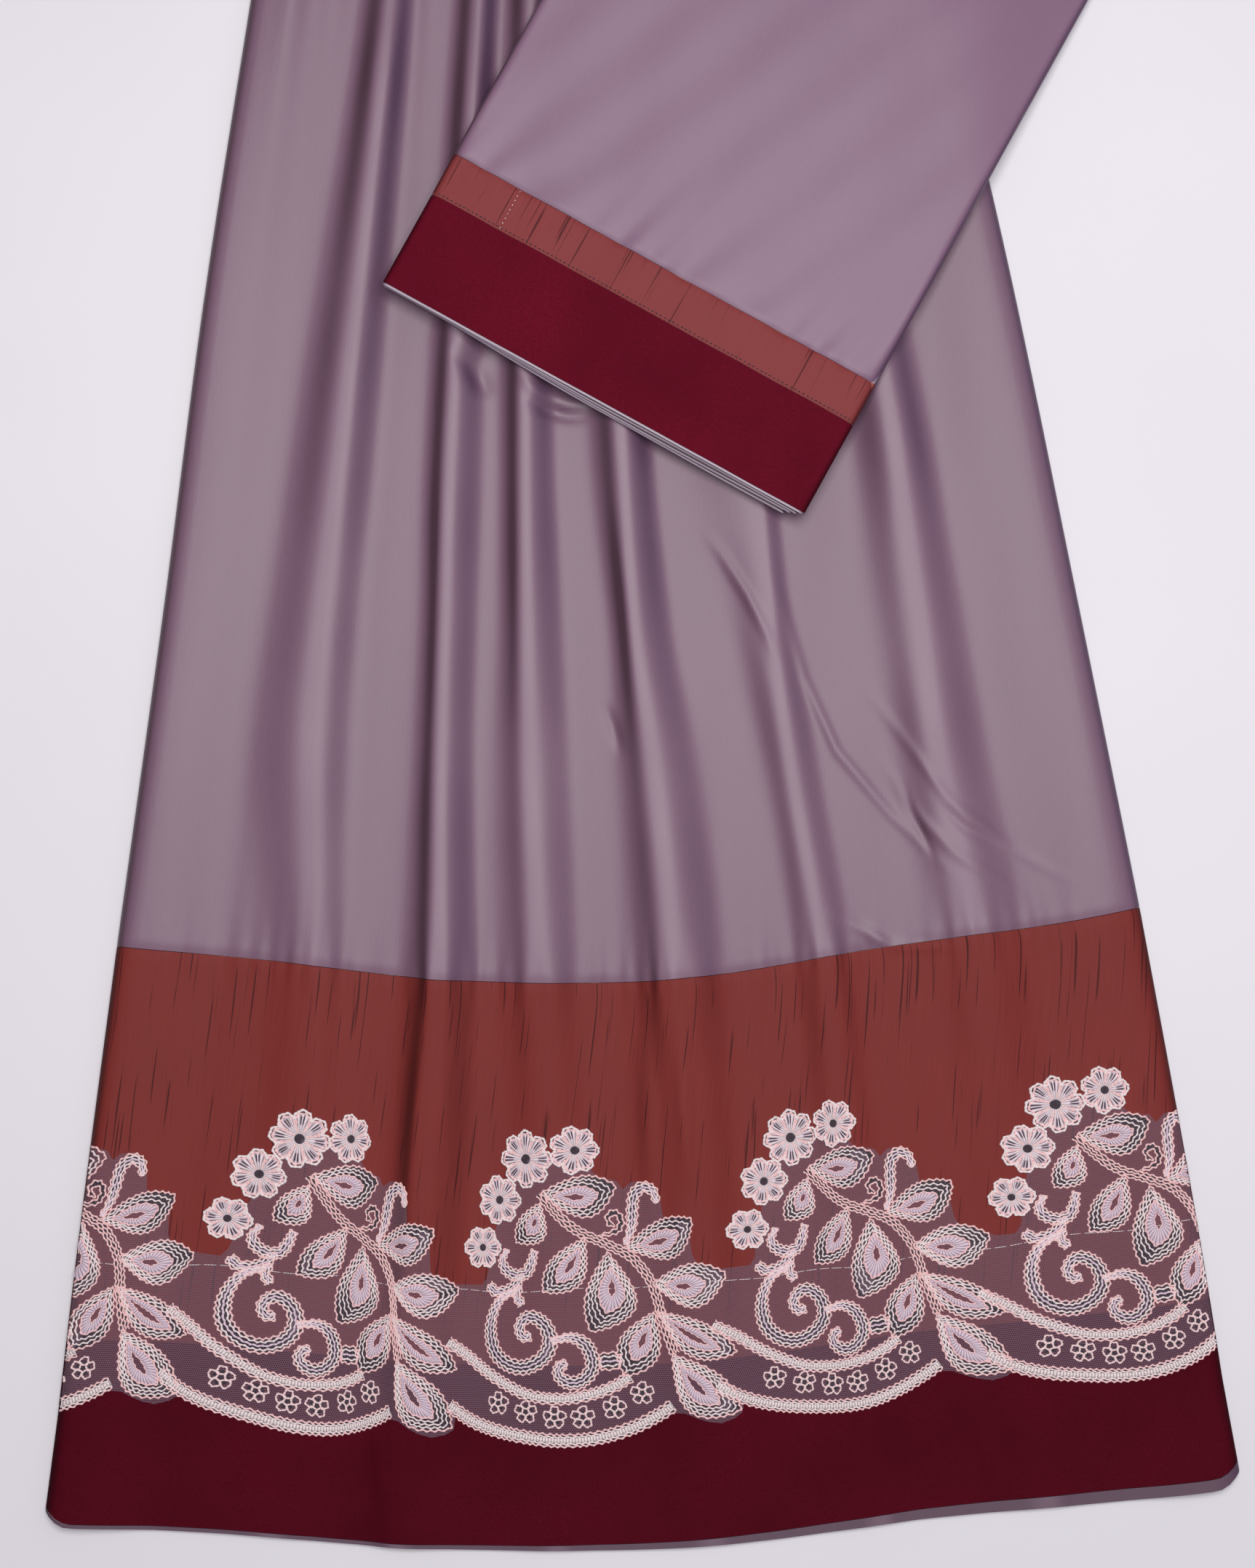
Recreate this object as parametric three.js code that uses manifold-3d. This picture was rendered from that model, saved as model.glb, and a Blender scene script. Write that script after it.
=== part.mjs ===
// A rida laid out flat: an ankle-length gathered skirt and the folded pardi (the hooded cape)
// that is worn with it, laid slantwise over the skirt.
//
// Millimetres, +Z up. X runs across the skirt and Y from its hem to its waist. The skirt's two
// panels lie on each other, the back one flat on the surface, and the pardi lies on both.
// Cloth is a wall: a grid of outer points and the same points moved in by its thickness.
// u is a share of the skirt's width from its left side, and d is the distance from its hem.
import * as THREE from "three";
import { mergeVertices } from "three/addons/utils/BufferGeometryUtils.js";
import Module from "manifold-3d";

const wasm = await Module();
wasm.setup();

// ---- Driving dimensions -------------------------------------------------------------------

const CLOTH = 1.4; // thickness of every cloth wall
const GAP = 0.3; // between pieces at a seam and between layers

const SKIRT_LENGTH = 1000;
const PIPING_TOP = 4; // distances from the hem at which each strip of the skirt ends
const MAROON_TOP = 104;
const RUST_TOP = 320;
const WAISTBAND_BOTTOM = 962;

const ROLL_WIDTH = { left: 12, right: 9 }; // the rounded turn at each side of the skirt
const ROLL_HEIGHT = { left: 9, right: 8 };
const ROLL_FADE = 55; // how far in from the roll the panel has sunk flat
const FLAT_TOP = CLOTH + GAP + CLOTH; // outer face where the front lies on the back
const SIDE_Z = CLOTH + GAP; // the front's side edge, just clear of the back

const GATHER_HEIGHT = 2.6; // gathers under the waistband
const GATHER_LIFT = 3.6;
const GATHER_REACH = 150;
const COLUMNS_PER_GATHER = 4;
const MAROON_ROWS = 3;
const RUST_ROWS = 3;

const LACE_BASE = 60; // from the hem to the lowest point of the scallops
const LACE_REPEAT = 156;
const LACE_FIRST = 59; // from the skirt's side to the start of the first whole repeat
const LACE_WIDTH_AT = 654; // the skirt's width where the repeats are measured
const NET = 1.0; // thickness of the net's wall
const RELIEF = 1.2; // how far the embroidery stands above the net

const PARDI_WIDTH = 272;
const PARDI_LENGTH = 400;
const PARDI_CORNER = { x: -139, y: 715.5 }; // hem corner on the left
const PARDI_SLANT = THREE.MathUtils.degToRad(-28.9); // direction of its hem
const PARDI_REST = 14; // height of its underside where it lies on the skirt's folds
const PRESSED = 12.8; // no fold of the skirt stands higher than this
const SIDE_DROP = { from: -15, to: 115 }; // it sinks to the surface on this way past the skirt's side
const WAIST_DROP = { from: 5, to: 115 }; // and past its waist
const PARDI_STACK = 7; // thickness of the hidden layers
const PARDI_PIPING = 2.4;
const PARDI_MAROON = 58.5;
const PARDI_RUST = 84.5;

// ---- Tables -------------------------------------------------------------------------------

// The skirt's sides, by distance from the hem.
const SIDES = [
  { d: 0, left: -329, right: 346 },
  { d: 150, left: -312, right: 322 },
  { d: 320, left: -290, right: 291 },
  { d: 520, left: -264, right: 254 },
  { d: 700, left: -242, right: 220 },
  { d: 870, left: -217, right: 184 },
  { d: 1000, left: -197, right: 157 },
];

// How far the hem lies above its lowest point, across the width.
const HEM = [
  { u: 0, rise: 14 },
  { u: 0.15, rise: 9.5 },
  { u: 0.31, rise: 1.4 },
  { u: 0.49, rise: 0.4 },
  { u: 0.6, rise: 5.5 },
  { u: 0.74, rise: 18 },
  { u: 0.92, rise: 29 },
  { u: 1, rise: 36 },
];

// The long folds that run down from the waist. At each station: the crest's place across the
// width, its spread to either side, and its height.
const STATIONS = [0, 340, 700, 1000];
const FOLDS = [
  { crest: [0.19, 0.185, 0.185, 0.212], left: [16, 16, 8, 6], right: [12, 10, 8, 5], height: [0.8, 4.5, 8, 10] },
  { crest: [0.295, 0.312, 0.308, 0.33], left: [9, 8, 6, 6], right: [12, 7, 6, 6], height: [2.2, 8, 10.4, 10] },
  { crest: [0.36, 0.355, 0.352, 0.37], left: [9, 6, 6, 6], right: [9, 7, 7, 6], height: [0.4, 3, 4, 6] },
  { crest: [0.43, 0.415, 0.394, 0.41], left: [12, 9, 6.5, 6], right: [12, 7, 6, 6], height: [0.8, 5, 8, 8] },
  { crest: [0.56, 0.546, 0.507, 0.5], left: [14, 11, 7, 7], right: [12, 9, 6, 6], height: [1.0, 6, 9.5, 9] },
  { crest: [0.7, 0.683, 0.655, 0.63], left: [12, 9, 8, 7], right: [10, 7, 6, 6], height: [1.2, 6, 8.5, 9] },
  { crest: [0.84, 0.837, 0.831, 0.8], left: [15, 13, 12, 9], right: [12, 9, 8, 6], height: [0.8, 5, 8.5, 9] },
];

// ---- Plain helpers ------------------------------------------------------------------------

const clamp01 = (t) => Math.min(1, Math.max(0, t));
const smooth = (from, to, value) => {
  const t = clamp01((value - from) / (to - from));
  return t * t * (3 - 2 * t);
};
const mix = (a, b, t) => a + (b - a) * t;

// A smooth curve through the points (xs[i], ys[i]), with each slope taken from its neighbours.
function through(xs, ys, x) {
  const last = xs.length - 1;
  let i = 0;
  while (i < last - 1 && x > xs[i + 1]) i += 1;
  const slope = (k) => {
    const a = Math.max(0, k - 1);
    const b = Math.min(last, k + 1);
    return (ys[b] - ys[a]) / (xs[b] - xs[a]);
  };
  const span = xs[i + 1] - xs[i];
  const t = clamp01((x - xs[i]) / span);
  const t2 = t * t;
  const t3 = t2 * t;
  return (
    (2 * t3 - 3 * t2 + 1) * ys[i] +
    (t3 - 2 * t2 + t) * span * slope(i) +
    (3 * t2 - 2 * t3) * ys[i + 1] +
    (t3 - t2) * span * slope(i + 1)
  );
}

const column = (table, key) => table.map((row) => row[key]);
const steps = (count) => Array.from({ length: count + 1 }, (_, i) => i / count);

// A closed wall between two grids of points with the same rows and columns.
function wallGeometry(outer, inner) {
  const rows = outer.length;
  const columns = outer[0].length;
  const points = [...outer.flat(), ...inner.flat()];
  const top = (j, i) => j * columns + i;
  const under = (j, i) => rows * columns + j * columns + i;
  const faces = [];
  const quad = (a, b, c, d) => faces.push(a, b, c, a, c, d);
  for (let j = 0; j < rows - 1; j += 1)
    for (let i = 0; i < columns - 1; i += 1) {
      quad(top(j, i), top(j, i + 1), top(j + 1, i + 1), top(j + 1, i));
      quad(under(j, i), under(j + 1, i), under(j + 1, i + 1), under(j, i + 1));
    }
  for (let i = 0; i < columns - 1; i += 1) {
    quad(top(0, i), under(0, i), under(0, i + 1), top(0, i + 1));
    quad(top(rows - 1, i + 1), under(rows - 1, i + 1), under(rows - 1, i), top(rows - 1, i));
  }
  for (let j = 0; j < rows - 1; j += 1) {
    quad(top(j + 1, 0), under(j + 1, 0), under(j, 0), top(j, 0));
    quad(top(j, columns - 1), under(j, columns - 1), under(j + 1, columns - 1), top(j + 1, columns - 1));
  }
  return geometryOf(points, faces);
}

function geometryOf(points, faces) {
  const geometry = new THREE.BufferGeometry().setFromPoints(points);
  geometry.setIndex(faces);
  return geometry;
}

// ---- The skirt's form ---------------------------------------------------------------------

const sideX = (side, d) => through(column(SIDES, "d"), column(SIDES, side), d);
const widthAt = (d) => sideX("right", d) - sideX("left", d);

// Where a point of the skirt lies on the surface, seen from above.
function skirtPlace(u, d) {
  const x = mix(sideX("left", d), sideX("right", d), u);
  const fade = clamp01((SKIRT_LENGTH - d) / (SKIRT_LENGTH - RUST_TOP));
  const rise = through(column(HEM, "u"), column(HEM, "rise"), u);
  const sideLift = 7 * (2 * u - 1) ** 2 * clamp01(d / RUST_TOP);
  const fromSide = Math.min(u, 1 - u) * widthAt(d);
  const corner = 9 * Math.max(0, 1 - fromSide / 14) ** 2 * Math.max(0, 1 - d / 60);
  return { x, y: d + (rise + sideLift) * fade + corner };
}

// Height of the folds alone: each is a bell curve with its own spread on either side.
function foldHeight(u, d) {
  const width = widthAt(d);
  let height = 0;
  for (const fold of FOLDS) {
    const away = (u - through(STATIONS, fold.crest, d)) * width;
    const spread = through(STATIONS, away < 0 ? fold.left : fold.right, d);
    height += through(STATIONS, fold.height, d) * Math.exp(-0.5 * (away / spread) ** 2);
  }
  return height;
}

// How far the side's roll lifts the cloth at a distance from that side: a quarter ellipse, and
// then a slow fall to flat.
function rollHeight(side, away) {
  const lift = ROLL_HEIGHT[side] - SIDE_Z;
  const share = clamp01(away / ROLL_WIDTH[side]);
  const rolled = SIDE_Z + lift * Math.sqrt(1 - (1 - share) ** 2);
  const fall = smooth(ROLL_WIDTH[side], ROLL_WIDTH[side] + ROLL_FADE, away);
  return mix(rolled, FLAT_TOP, fall) - FLAT_TOP;
}

// A gather's wave, by column, near the waist.
const gatherWave = (phase) => Math.cos(phase * 2 * Math.PI);

// Height of the front's outer face. gather is the phase of the waist's gathers at this column.
function frontHeight(u, d, gather = 0.25) {
  const width = widthAt(d);
  const near = Math.exp(-((SKIRT_LENGTH - d) / GATHER_REACH) * 2);
  const inside = smooth(4, 26, Math.min(u, 1 - u) * width);
  const gathers = near * inside * (GATHER_LIFT + GATHER_HEIGHT * gatherWave(gather));
  const folds = foldHeight(u, d) * mix(1, 0.35, near) * inside;
  const height =
    FLAT_TOP + rollHeight("left", u * width) + rollHeight("right", (1 - u) * width) + folds + gathers;
  return Math.min(height, PRESSED);
}

// A point of the front, moved out along the cloth's normal. At the sides the normal is level.
function frontPoint(u, d, out, gather) {
  const { x, y } = skirtPlace(u, d);
  const z = frontHeight(u, d, gather);
  const width = widthAt(d);
  const step = 0.4 / width;
  const before = Math.max(0, u - step);
  const after = Math.min(1, u + step);
  const run = (after - before) * width;
  const climb = frontHeight(after, d, gather) - frontHeight(before, d, gather);
  const normal = new THREE.Vector2(-climb, run).normalize();
  if (u === 0) normal.set(-1, 0);
  if (u === 1) normal.set(1, 0);
  return new THREE.Vector3(x + normal.x * out, y, z + normal.y * out);
}

// The columns of the front at a distance from the hem: close together round each side's roll
// and on the folds. Their number is the same at every row.
const ROLL_ANGLES = [0, 25, 50, 72, 90].map(THREE.MathUtils.degToRad);
const INNER_COLUMNS = 54;
function frontColumns(d) {
  const width = widthAt(d);
  const roll = (side) => ROLL_ANGLES.map((a) => (ROLL_WIDTH[side] * (1 - Math.cos(a))) / width);
  const left = roll("left");
  const right = roll("right").map((share) => 1 - share).reverse();
  const samples = steps(400).map((t) => mix(left.at(-1), right[0], t));
  const crests = FOLDS.map((fold) => through(STATIONS, fold.crest, d));
  const crowd = (u) => 1 + 1.6 * crests.reduce((sum, c) => sum + Math.exp(-(((u - c) / 0.022) ** 2)), 0);
  const total = [0];
  samples.slice(1).forEach((u) => total.push(total.at(-1) + crowd(u)));
  const inner = steps(INNER_COLUMNS)
    .slice(1, -1)
    .map((t) => {
      const wanted = t * total.at(-1);
      const k = Math.max(1, total.findIndex((sum) => sum >= wanted));
      return mix(samples[k - 1], samples[k], (wanted - total[k - 1]) / (total[k] - total[k - 1]));
    });
  return [...left, ...inner, ...right];
}

// One piece of the front, as a wall from one distance from the hem to another.
function frontPiece(from, to, rows, thickness = CLOTH) {
  const grid = (out) =>
    steps(rows).map((t) => {
      const d = mix(from, to, t);
      return frontColumns(d).map((u, i) => frontPoint(u, d, out, i / COLUMNS_PER_GATHER));
    });
  return wallGeometry(grid(thickness - CLOTH), grid(-CLOTH));
}

// One piece of the back, flat on the surface.
function backPiece(from, to, rows, columns = 14) {
  const grid = (z) =>
    steps(rows).map((t) =>
      steps(columns).map((share) => {
        const u = 0.5 - 0.5 * Math.cos(share * Math.PI); // closer together at the rounded corners
        const { x, y } = skirtPlace(u, mix(from, to, t));
        return new THREE.Vector3(x, y, z);
      }),
    );
  return wallGeometry(grid(CLOTH), grid(0));
}

// ---- The lace -----------------------------------------------------------------------------
// Embroidered net, sewn over the seam of the two hem bands. s runs along one repeat and t up
// from the lowest point of its scallops.

// The net's lower and upper edge along one repeat.
const NET_EDGE = [
  { s: 0, low: 20, high: 90 },
  { s: 10, low: 12, high: 90 },
  { s: 15, low: 9, high: 122 },
  { s: 22, low: 6, high: 148 },
  { s: 32, low: 4, high: 154 },
  { s: 39, low: 3, high: 176 },
  { s: 48, low: 1.5, high: 179 },
  { s: 60, low: 0, high: 172 },
  { s: 74, low: 0.5, high: 181 },
  { s: 86, low: 2, high: 174 },
  { s: 93, low: 4, high: 150 },
  { s: 105, low: 8, high: 145 },
  { s: 116, low: 14, high: 149 },
  { s: 125, low: 20, high: 138 },
  { s: 138, low: 18, high: 127 },
  { s: 144, low: 16, high: 102 },
  { s: 151, low: 15, high: 97 },
  { s: 156, low: 20, high: 90 },
];

// Leaves along the stem: where each starts, which way it points, its length and its width.
const LEAVES = [
  { s: 57, t: 142, angle: -8, length: 40, width: 21 },
  { s: 78, t: 118, angle: -128, length: 34, width: 20 },
  { s: 93, t: 108, angle: -97, length: 46, width: 26 },
  { s: 118, t: 92, angle: 2, length: 40, width: 20 },
  { s: 119, t: 78, angle: -116, length: 40, width: 22 },
  { s: 123, t: 76, angle: -37, length: 44, width: 20 },
  { s: 128, t: 56, angle: -55, length: 46, width: 24 },
];

const FLOWERS = [
  { s: 48, t: 160, radius: 17, petals: 6 },
  { s: 76, t: 166, radius: 13.5, petals: 5 },
  { s: 31, t: 138, radius: 14, petals: 5 },
  { s: 22, t: 112, radius: 12, petals: 5 },
];

// The widest lines of embroidery, a scroll and the scallop's edge: their width and their points
// (s, t).
const LINES = [
  { width: 9, at: [[44, 96], [28, 78], [34, 52], [55, 50], [57, 66], [46, 69]] },
  { width: 7, at: [[0, 23], [30, 7.5], [70, 3.6], [106, 13], [132, 30]] },
];

const laceStart = (repeat) => (LACE_FIRST + repeat * LACE_REPEAT) / LACE_WIDTH_AT;
const laceShare = (repeat, s) => laceStart(repeat) + s / LACE_WIDTH_AT;
const LACE_REPEATS = [-1, 0, 1, 2, 3];

// The bands' own grid, as each point and the normal there, from the hem upwards.
const bandRow = (d) =>
  frontColumns(d).map((u) => {
    const base = frontPoint(u, d, 0);
    return { u, base, normal: frontPoint(u, d, 1).sub(base) };
  });
const BAND_STATIONS = [
  ...steps(MAROON_ROWS).map((t) => mix(PIPING_TOP + GAP, MAROON_TOP, t)),
  ...steps(RUST_ROWS).map((t) => mix(MAROON_TOP + GAP, RUST_TOP, t)),
];
const BAND_GRID = BAND_STATIONS.map(bandRow);

// A point of the lace at its distance from the hem. It stands out from the bands' own faces,
// between the four nearest points of their grid.
function lacePoint(u, t, out) {
  const d = LACE_BASE + t;
  const j = Math.max(0, Math.min(BAND_STATIONS.length - 2, BAND_STATIONS.findLastIndex((row) => row <= d)));
  const v = (d - BAND_STATIONS[j]) / (BAND_STATIONS[j + 1] - BAND_STATIONS[j]);
  const columnAt = (i) => mix(BAND_GRID[j][i].u, BAND_GRID[j + 1][i].u, v);
  let i = 0;
  while (i < BAND_GRID[j].length - 2 && columnAt(i + 1) < u) i += 1;
  const h = clamp01((u - columnAt(i)) / (columnAt(i + 1) - columnAt(i)));
  const corner = ({ base, normal }) => base.clone().addScaledVector(normal, out);
  const low = corner(BAND_GRID[j][i]).lerp(corner(BAND_GRID[j][i + 1]), h);
  const high = corner(BAND_GRID[j + 1][i]).lerp(corner(BAND_GRID[j + 1][i + 1]), h);
  return low.lerp(high, v);
}

function netEdge(u, key) {
  const along = (u - laceStart(0)) * LACE_WIDTH_AT;
  const s = ((along % LACE_REPEAT) + LACE_REPEAT) % LACE_REPEAT;
  const k = Math.min(NET_EDGE.length - 2, NET_EDGE.findLastIndex((row) => row.s <= s));
  const share = (s - NET_EDGE[k].s) / (NET_EDGE[k + 1].s - NET_EDGE[k].s);
  return mix(NET_EDGE[k][key], NET_EDGE[k + 1][key], share);
}

// The net's wall. Its columns are the bands' own.
function netGeometry() {
  const rows = 2;
  const grid = (out) =>
    steps(rows).map((share) =>
      BAND_GRID[0].map((_, i) => {
        const u = frontColumns(LACE_BASE + 80)[i];
        return lacePoint(u, mix(netEdge(u, "low"), netEdge(u, "high"), share), out);
      }),
    );
  return wallGeometry(grid(GAP + NET), grid(GAP));
}

// Everything under the lace, a little clear of the bands: the lace keeps out of it.
function underLace() {
  const clear = GAP - 0.08;
  const grid = (drop) =>
    BAND_GRID.map((row) =>
      row.map(({ base, normal }) => base.clone().addScaledVector(normal, clear).add(new THREE.Vector3(0, 0, -drop))),
    );
  return wallGeometry(grid(0), grid(30));
}

// A low dome over an outline of (u, t) points, its foot inside the net's wall.
function domeGeometry(outline, middle, foot, edge, crown) {
  const n = outline.length;
  const points = [
    ...outline.map(([u, t]) => lacePoint(u, t, edge)),
    ...outline.map(([u, t]) => lacePoint(u, t, foot)),
    lacePoint(...middle, crown),
    lacePoint(...middle, foot),
  ];
  const faces = [];
  for (let i = 0; i < n; i += 1) {
    const next = (i + 1) % n;
    faces.push(i, next, 2 * n, n + next, n + i, 2 * n + 1);
    faces.push(i, n + i, n + next, i, n + next, next);
  }
  return geometryOf(points, faces);
}

// A strip of even width along a line of (u, t) points.
function stripGeometry(line, width, foot, top) {
  const half = width / 2;
  const across = line.map(([u, t], i) => {
    const [ua, ta] = line[Math.max(0, i - 1)];
    const [ub, tb] = line[Math.min(line.length - 1, i + 1)];
    const du = (ub - ua) * LACE_WIDTH_AT;
    const dt = tb - ta;
    const long = Math.hypot(du, dt);
    return [(-dt / long) * (half / LACE_WIDTH_AT), (du / long) * half, u, t];
  });
  const edge = (sign, out) => across.map(([au, at, u, t]) => lacePoint(u + sign * au, t + sign * at, out));
  return wallGeometry([edge(-1, top), edge(1, top)], [edge(-1, foot), edge(1, foot)]);
}

function solidOf(geometry) {
  const merged = mergeVertices(geometry, 1e-4);
  const mesh = new wasm.Mesh({
    numProp: 3,
    vertProperties: merged.attributes.position.array,
    triVerts: new Uint32Array(merged.index.array),
  });
  return new wasm.Manifold(mesh);
}

function geometryOfSolid(solid) {
  const mesh = solid.getMesh();
  const points = [];
  for (let i = 0; i < mesh.numVert; i += 1) {
    const [x, y, z] = mesh.vertProperties.subarray(i * mesh.numProp, i * mesh.numProp + 3);
    points.push(new THREE.Vector3(x, y, z));
  }
  return geometryOf(points, withoutHollows(points, Array.from(mesh.triVerts)));
}

// The faces without the shells that only line a sealed hollow: those face inwards.
function withoutHollows(points, faces) {
  const shell = points.map((_, i) => i);
  const find = (i) => {
    while (shell[i] !== i) i = shell[i];
    return i;
  };
  for (let f = 0; f < faces.length; f += 3)
    for (const k of [1, 2]) shell[find(faces[f + k])] = find(faces[f]);
  const volume = new Map();
  for (let f = 0; f < faces.length; f += 3) {
    const [a, b, c] = faces.slice(f, f + 3).map((i) => points[i]);
    const root = find(faces[f]);
    volume.set(root, (volume.get(root) ?? 0) + a.dot(b.clone().cross(c)) / 6);
  }
  return faces.filter((_, i) => volume.get(find(faces[i - (i % 3)])) > 0);
}

// True where every point lies on the front, clear of the sides' rolls.
const onFront = (points) => points.every(([u]) => u > 0.03 && u < 0.972);

function laceGeometry() {
  const foot = GAP + NET / 2;
  const edge = GAP + NET + RELIEF * 0.6;
  const crown = GAP + NET + RELIEF;
  let lace = solidOf(netGeometry());
  const add = (geometry) => {
    lace = lace.add(solidOf(geometry));
  };
  for (const repeat of LACE_REPEATS) {
    const place = (s, t) => [laceShare(repeat, s), t];
    for (const leaf of LEAVES) {
      const angle = THREE.MathUtils.degToRad(leaf.angle);
      const at = (along, across) =>
        place(
          leaf.s + along * leaf.length * Math.cos(angle) - across * leaf.width * Math.sin(angle),
          leaf.t + along * leaf.length * Math.sin(angle) + across * leaf.width * Math.cos(angle),
        );
      const outline = [at(0, 0), at(0.4, -0.45), at(0.75, -0.42), at(1, 0), at(0.75, 0.42), at(0.4, 0.45)];
      if (onFront(outline)) add(domeGeometry(outline, at(0.6, 0), foot, edge, crown));
    }
    for (const flower of FLOWERS) {
      const outline = steps(flower.petals * 2)
        .slice(0, -1)
        .map((turn, i) => {
          const radius = flower.radius * (i % 2 ? 0.84 : 1.04);
          const angle = turn * 2 * Math.PI;
          return place(flower.s + radius * Math.cos(angle), flower.t + radius * Math.sin(angle));
        });
      if (onFront(outline)) add(domeGeometry(outline, place(flower.s, flower.t), foot, crown, edge));
    }
    for (const line of LINES) {
      const placed = line.at.map(([s, t]) => place(s, t)).filter(([u]) => u > 0.03 && u < 0.972);
      if (placed.length > 1) add(stripGeometry(placed, line.width, foot, edge));
    }
  }
  return geometryOfSolid(lace.subtract(solidOf(underLace())));
}

// ---- The pardi ----------------------------------------------------------------------------
// Folded into a long strip and then in half, hem outwards. s runs along its hem and t away
// from the hem.

const ALONG_HEM = { x: Math.cos(PARDI_SLANT), y: Math.sin(PARDI_SLANT) };
function pardiPlace(s, t) {
  return {
    x: PARDI_CORNER.x + s * ALONG_HEM.x - t * ALONG_HEM.y,
    y: PARDI_CORNER.y + s * ALONG_HEM.y + t * ALONG_HEM.x,
  };
}

// Height of its underside: on the skirt's folds, and down to the surface past the skirt.
function pardiUnderside(x, y) {
  const pastSide = x - sideX("right", Math.min(y, SKIRT_LENGTH));
  const sideDrop = smooth(SIDE_DROP.from, SIDE_DROP.to, pastSide);
  const waistDrop = smooth(WAIST_DROP.from, WAIST_DROP.to, y - SKIRT_LENGTH);
  return PARDI_REST * (1 - sideDrop) * (1 - waistDrop);
}

function pardiPoint(s, t, above) {
  const { x, y } = pardiPlace(s, t);
  return new THREE.Vector3(x, y, pardiUnderside(x, y) + above);
}

// Every layer has its columns and rows at these places, so that they lie on each other evenly.
const PARDI_COLUMNS = steps(10).map((share) => share * PARDI_WIDTH);
const PANEL_ROWS = steps(9).map((share) => mix(PARDI_RUST + GAP, PARDI_LENGTH, share));
const RUST_BAND_ROWS = [PARDI_MAROON + GAP, PARDI_RUST];
const MAROON_BAND_ROWS = [PARDI_PIPING + GAP, PARDI_MAROON / 2, PARDI_MAROON];
const PIPING_ROWS = [0, PARDI_PIPING];

// One strip of the uppermost layer.
function pardiStrip(rows) {
  const grid = (above) => rows.map((t) => PARDI_COLUMNS.map((s) => pardiPoint(s, t, above)));
  const low = PARDI_STACK + GAP;
  return wallGeometry(grid(low + CLOTH), grid(low));
}

// The layers under it share one solid. Its edge is a profile with a bulge for each layer, and
// at the hem the lower layers slip out from under the upper ones.
const LAYERS = 4;
function pardiStack() {
  const inset = 2.5;
  const within = (places, end) => [inset, ...places, end - inset];
  const across = within(PARDI_COLUMNS.slice(1, -1), PARDI_WIDTH);
  const along = within([MAROON_BAND_ROWS[1], PARDI_MAROON, ...PANEL_ROWS.slice(0, -1)], PARDI_LENGTH);
  const [acrossCount, alongCount] = [across.length - 1, along.length - 1];
  const at = (i, j) => ({ s: across[i], t: along[j] });
  const ring = [];
  for (let i = 0; i < acrossCount; i += 1) ring.push([i, 0]);
  for (let j = 0; j < alongCount; j += 1) ring.push([acrossCount, j]);
  for (let i = acrossCount; i > 0; i -= 1) ring.push([i, alongCount]);
  for (let j = alongCount; j > 0; j -= 1) ring.push([0, j]);
  const outward = ([i, j]) => ({
    s: i === 0 ? -1 : i === acrossCount ? 1 : 0,
    t: j === 0 ? -1 : j === alongCount ? 1 : 0,
  });
  // The profile from the top face down to the underside: each layer bulges, with a groove after it.
  const layerHeight = PARDI_STACK / LAYERS;
  const profile = [];
  for (let layer = 0; layer < LAYERS; layer += 1) {
    const top = PARDI_STACK - layer * layerHeight;
    profile.push({ height: top - layerHeight * 0.3, out: inset - 0.3, slip: layer });
    if (layer < LAYERS - 1) profile.push({ height: top - layerHeight, out: inset - 1.6, slip: layer });
  }
  const points = [];
  const add = (s, t, above) => points.push(pardiPoint(s, t, above)) - 1;
  const face = (above) => along.map((t) => across.map((s) => add(s, t, above)));
  const top = face(PARDI_STACK);
  const bottom = face(0);
  const loops = [
    ring.map(([i, j]) => top[j][i]),
    ...profile.map(({ height, out, slip }) =>
      ring.map(([i, j]) => {
        const { s, t } = at(i, j);
        const way = outward([i, j]);
        const bow = j === 0 ? slip * 1.5 * Math.sin(Math.PI * (s / PARDI_WIDTH) ** 1.4) : 0;
        return add(s + way.s * out, t + way.t * out - bow, height);
      }),
    ),
    ring.map(([i, j]) => bottom[j][i]),
  ];
  const faces = [];
  const quad = (a, b, c, d) => faces.push(a, b, c, a, c, d);
  for (let j = 0; j < alongCount; j += 1)
    for (let i = 0; i < acrossCount; i += 1) {
      quad(top[j][i], top[j][i + 1], top[j + 1][i + 1], top[j + 1][i]);
      quad(bottom[j][i], bottom[j + 1][i], bottom[j + 1][i + 1], bottom[j][i + 1]);
    }
  loops.slice(1).forEach((lower, k) =>
    lower.forEach((_, n) => {
      const next = (n + 1) % ring.length;
      quad(loops[k][n], lower[n], lower[next], loops[k][next]);
    }),
  );
  return geometryOf(points, faces);
}

// ---- The pieces ---------------------------------------------------------------------------

const MAUVE = { color: 0x8d7688, roughness: 0.42, metalness: 0 };
const RUST = { color: 0x8a3a34, roughness: 0.55, metalness: 0 };
const MAROON = { color: 0x560f20, roughness: 0.7, metalness: 0 };
const NET_AND_CORD = { color: 0xcdb4bd, roughness: 0.8, metalness: 0 };

const rida = new THREE.Group();
function piece(name, geometry, finish) {
  const mesh = new THREE.Mesh(geometry, new THREE.MeshStandardMaterial(finish));
  mesh.name = name;
  rida.add(mesh);
}

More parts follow.
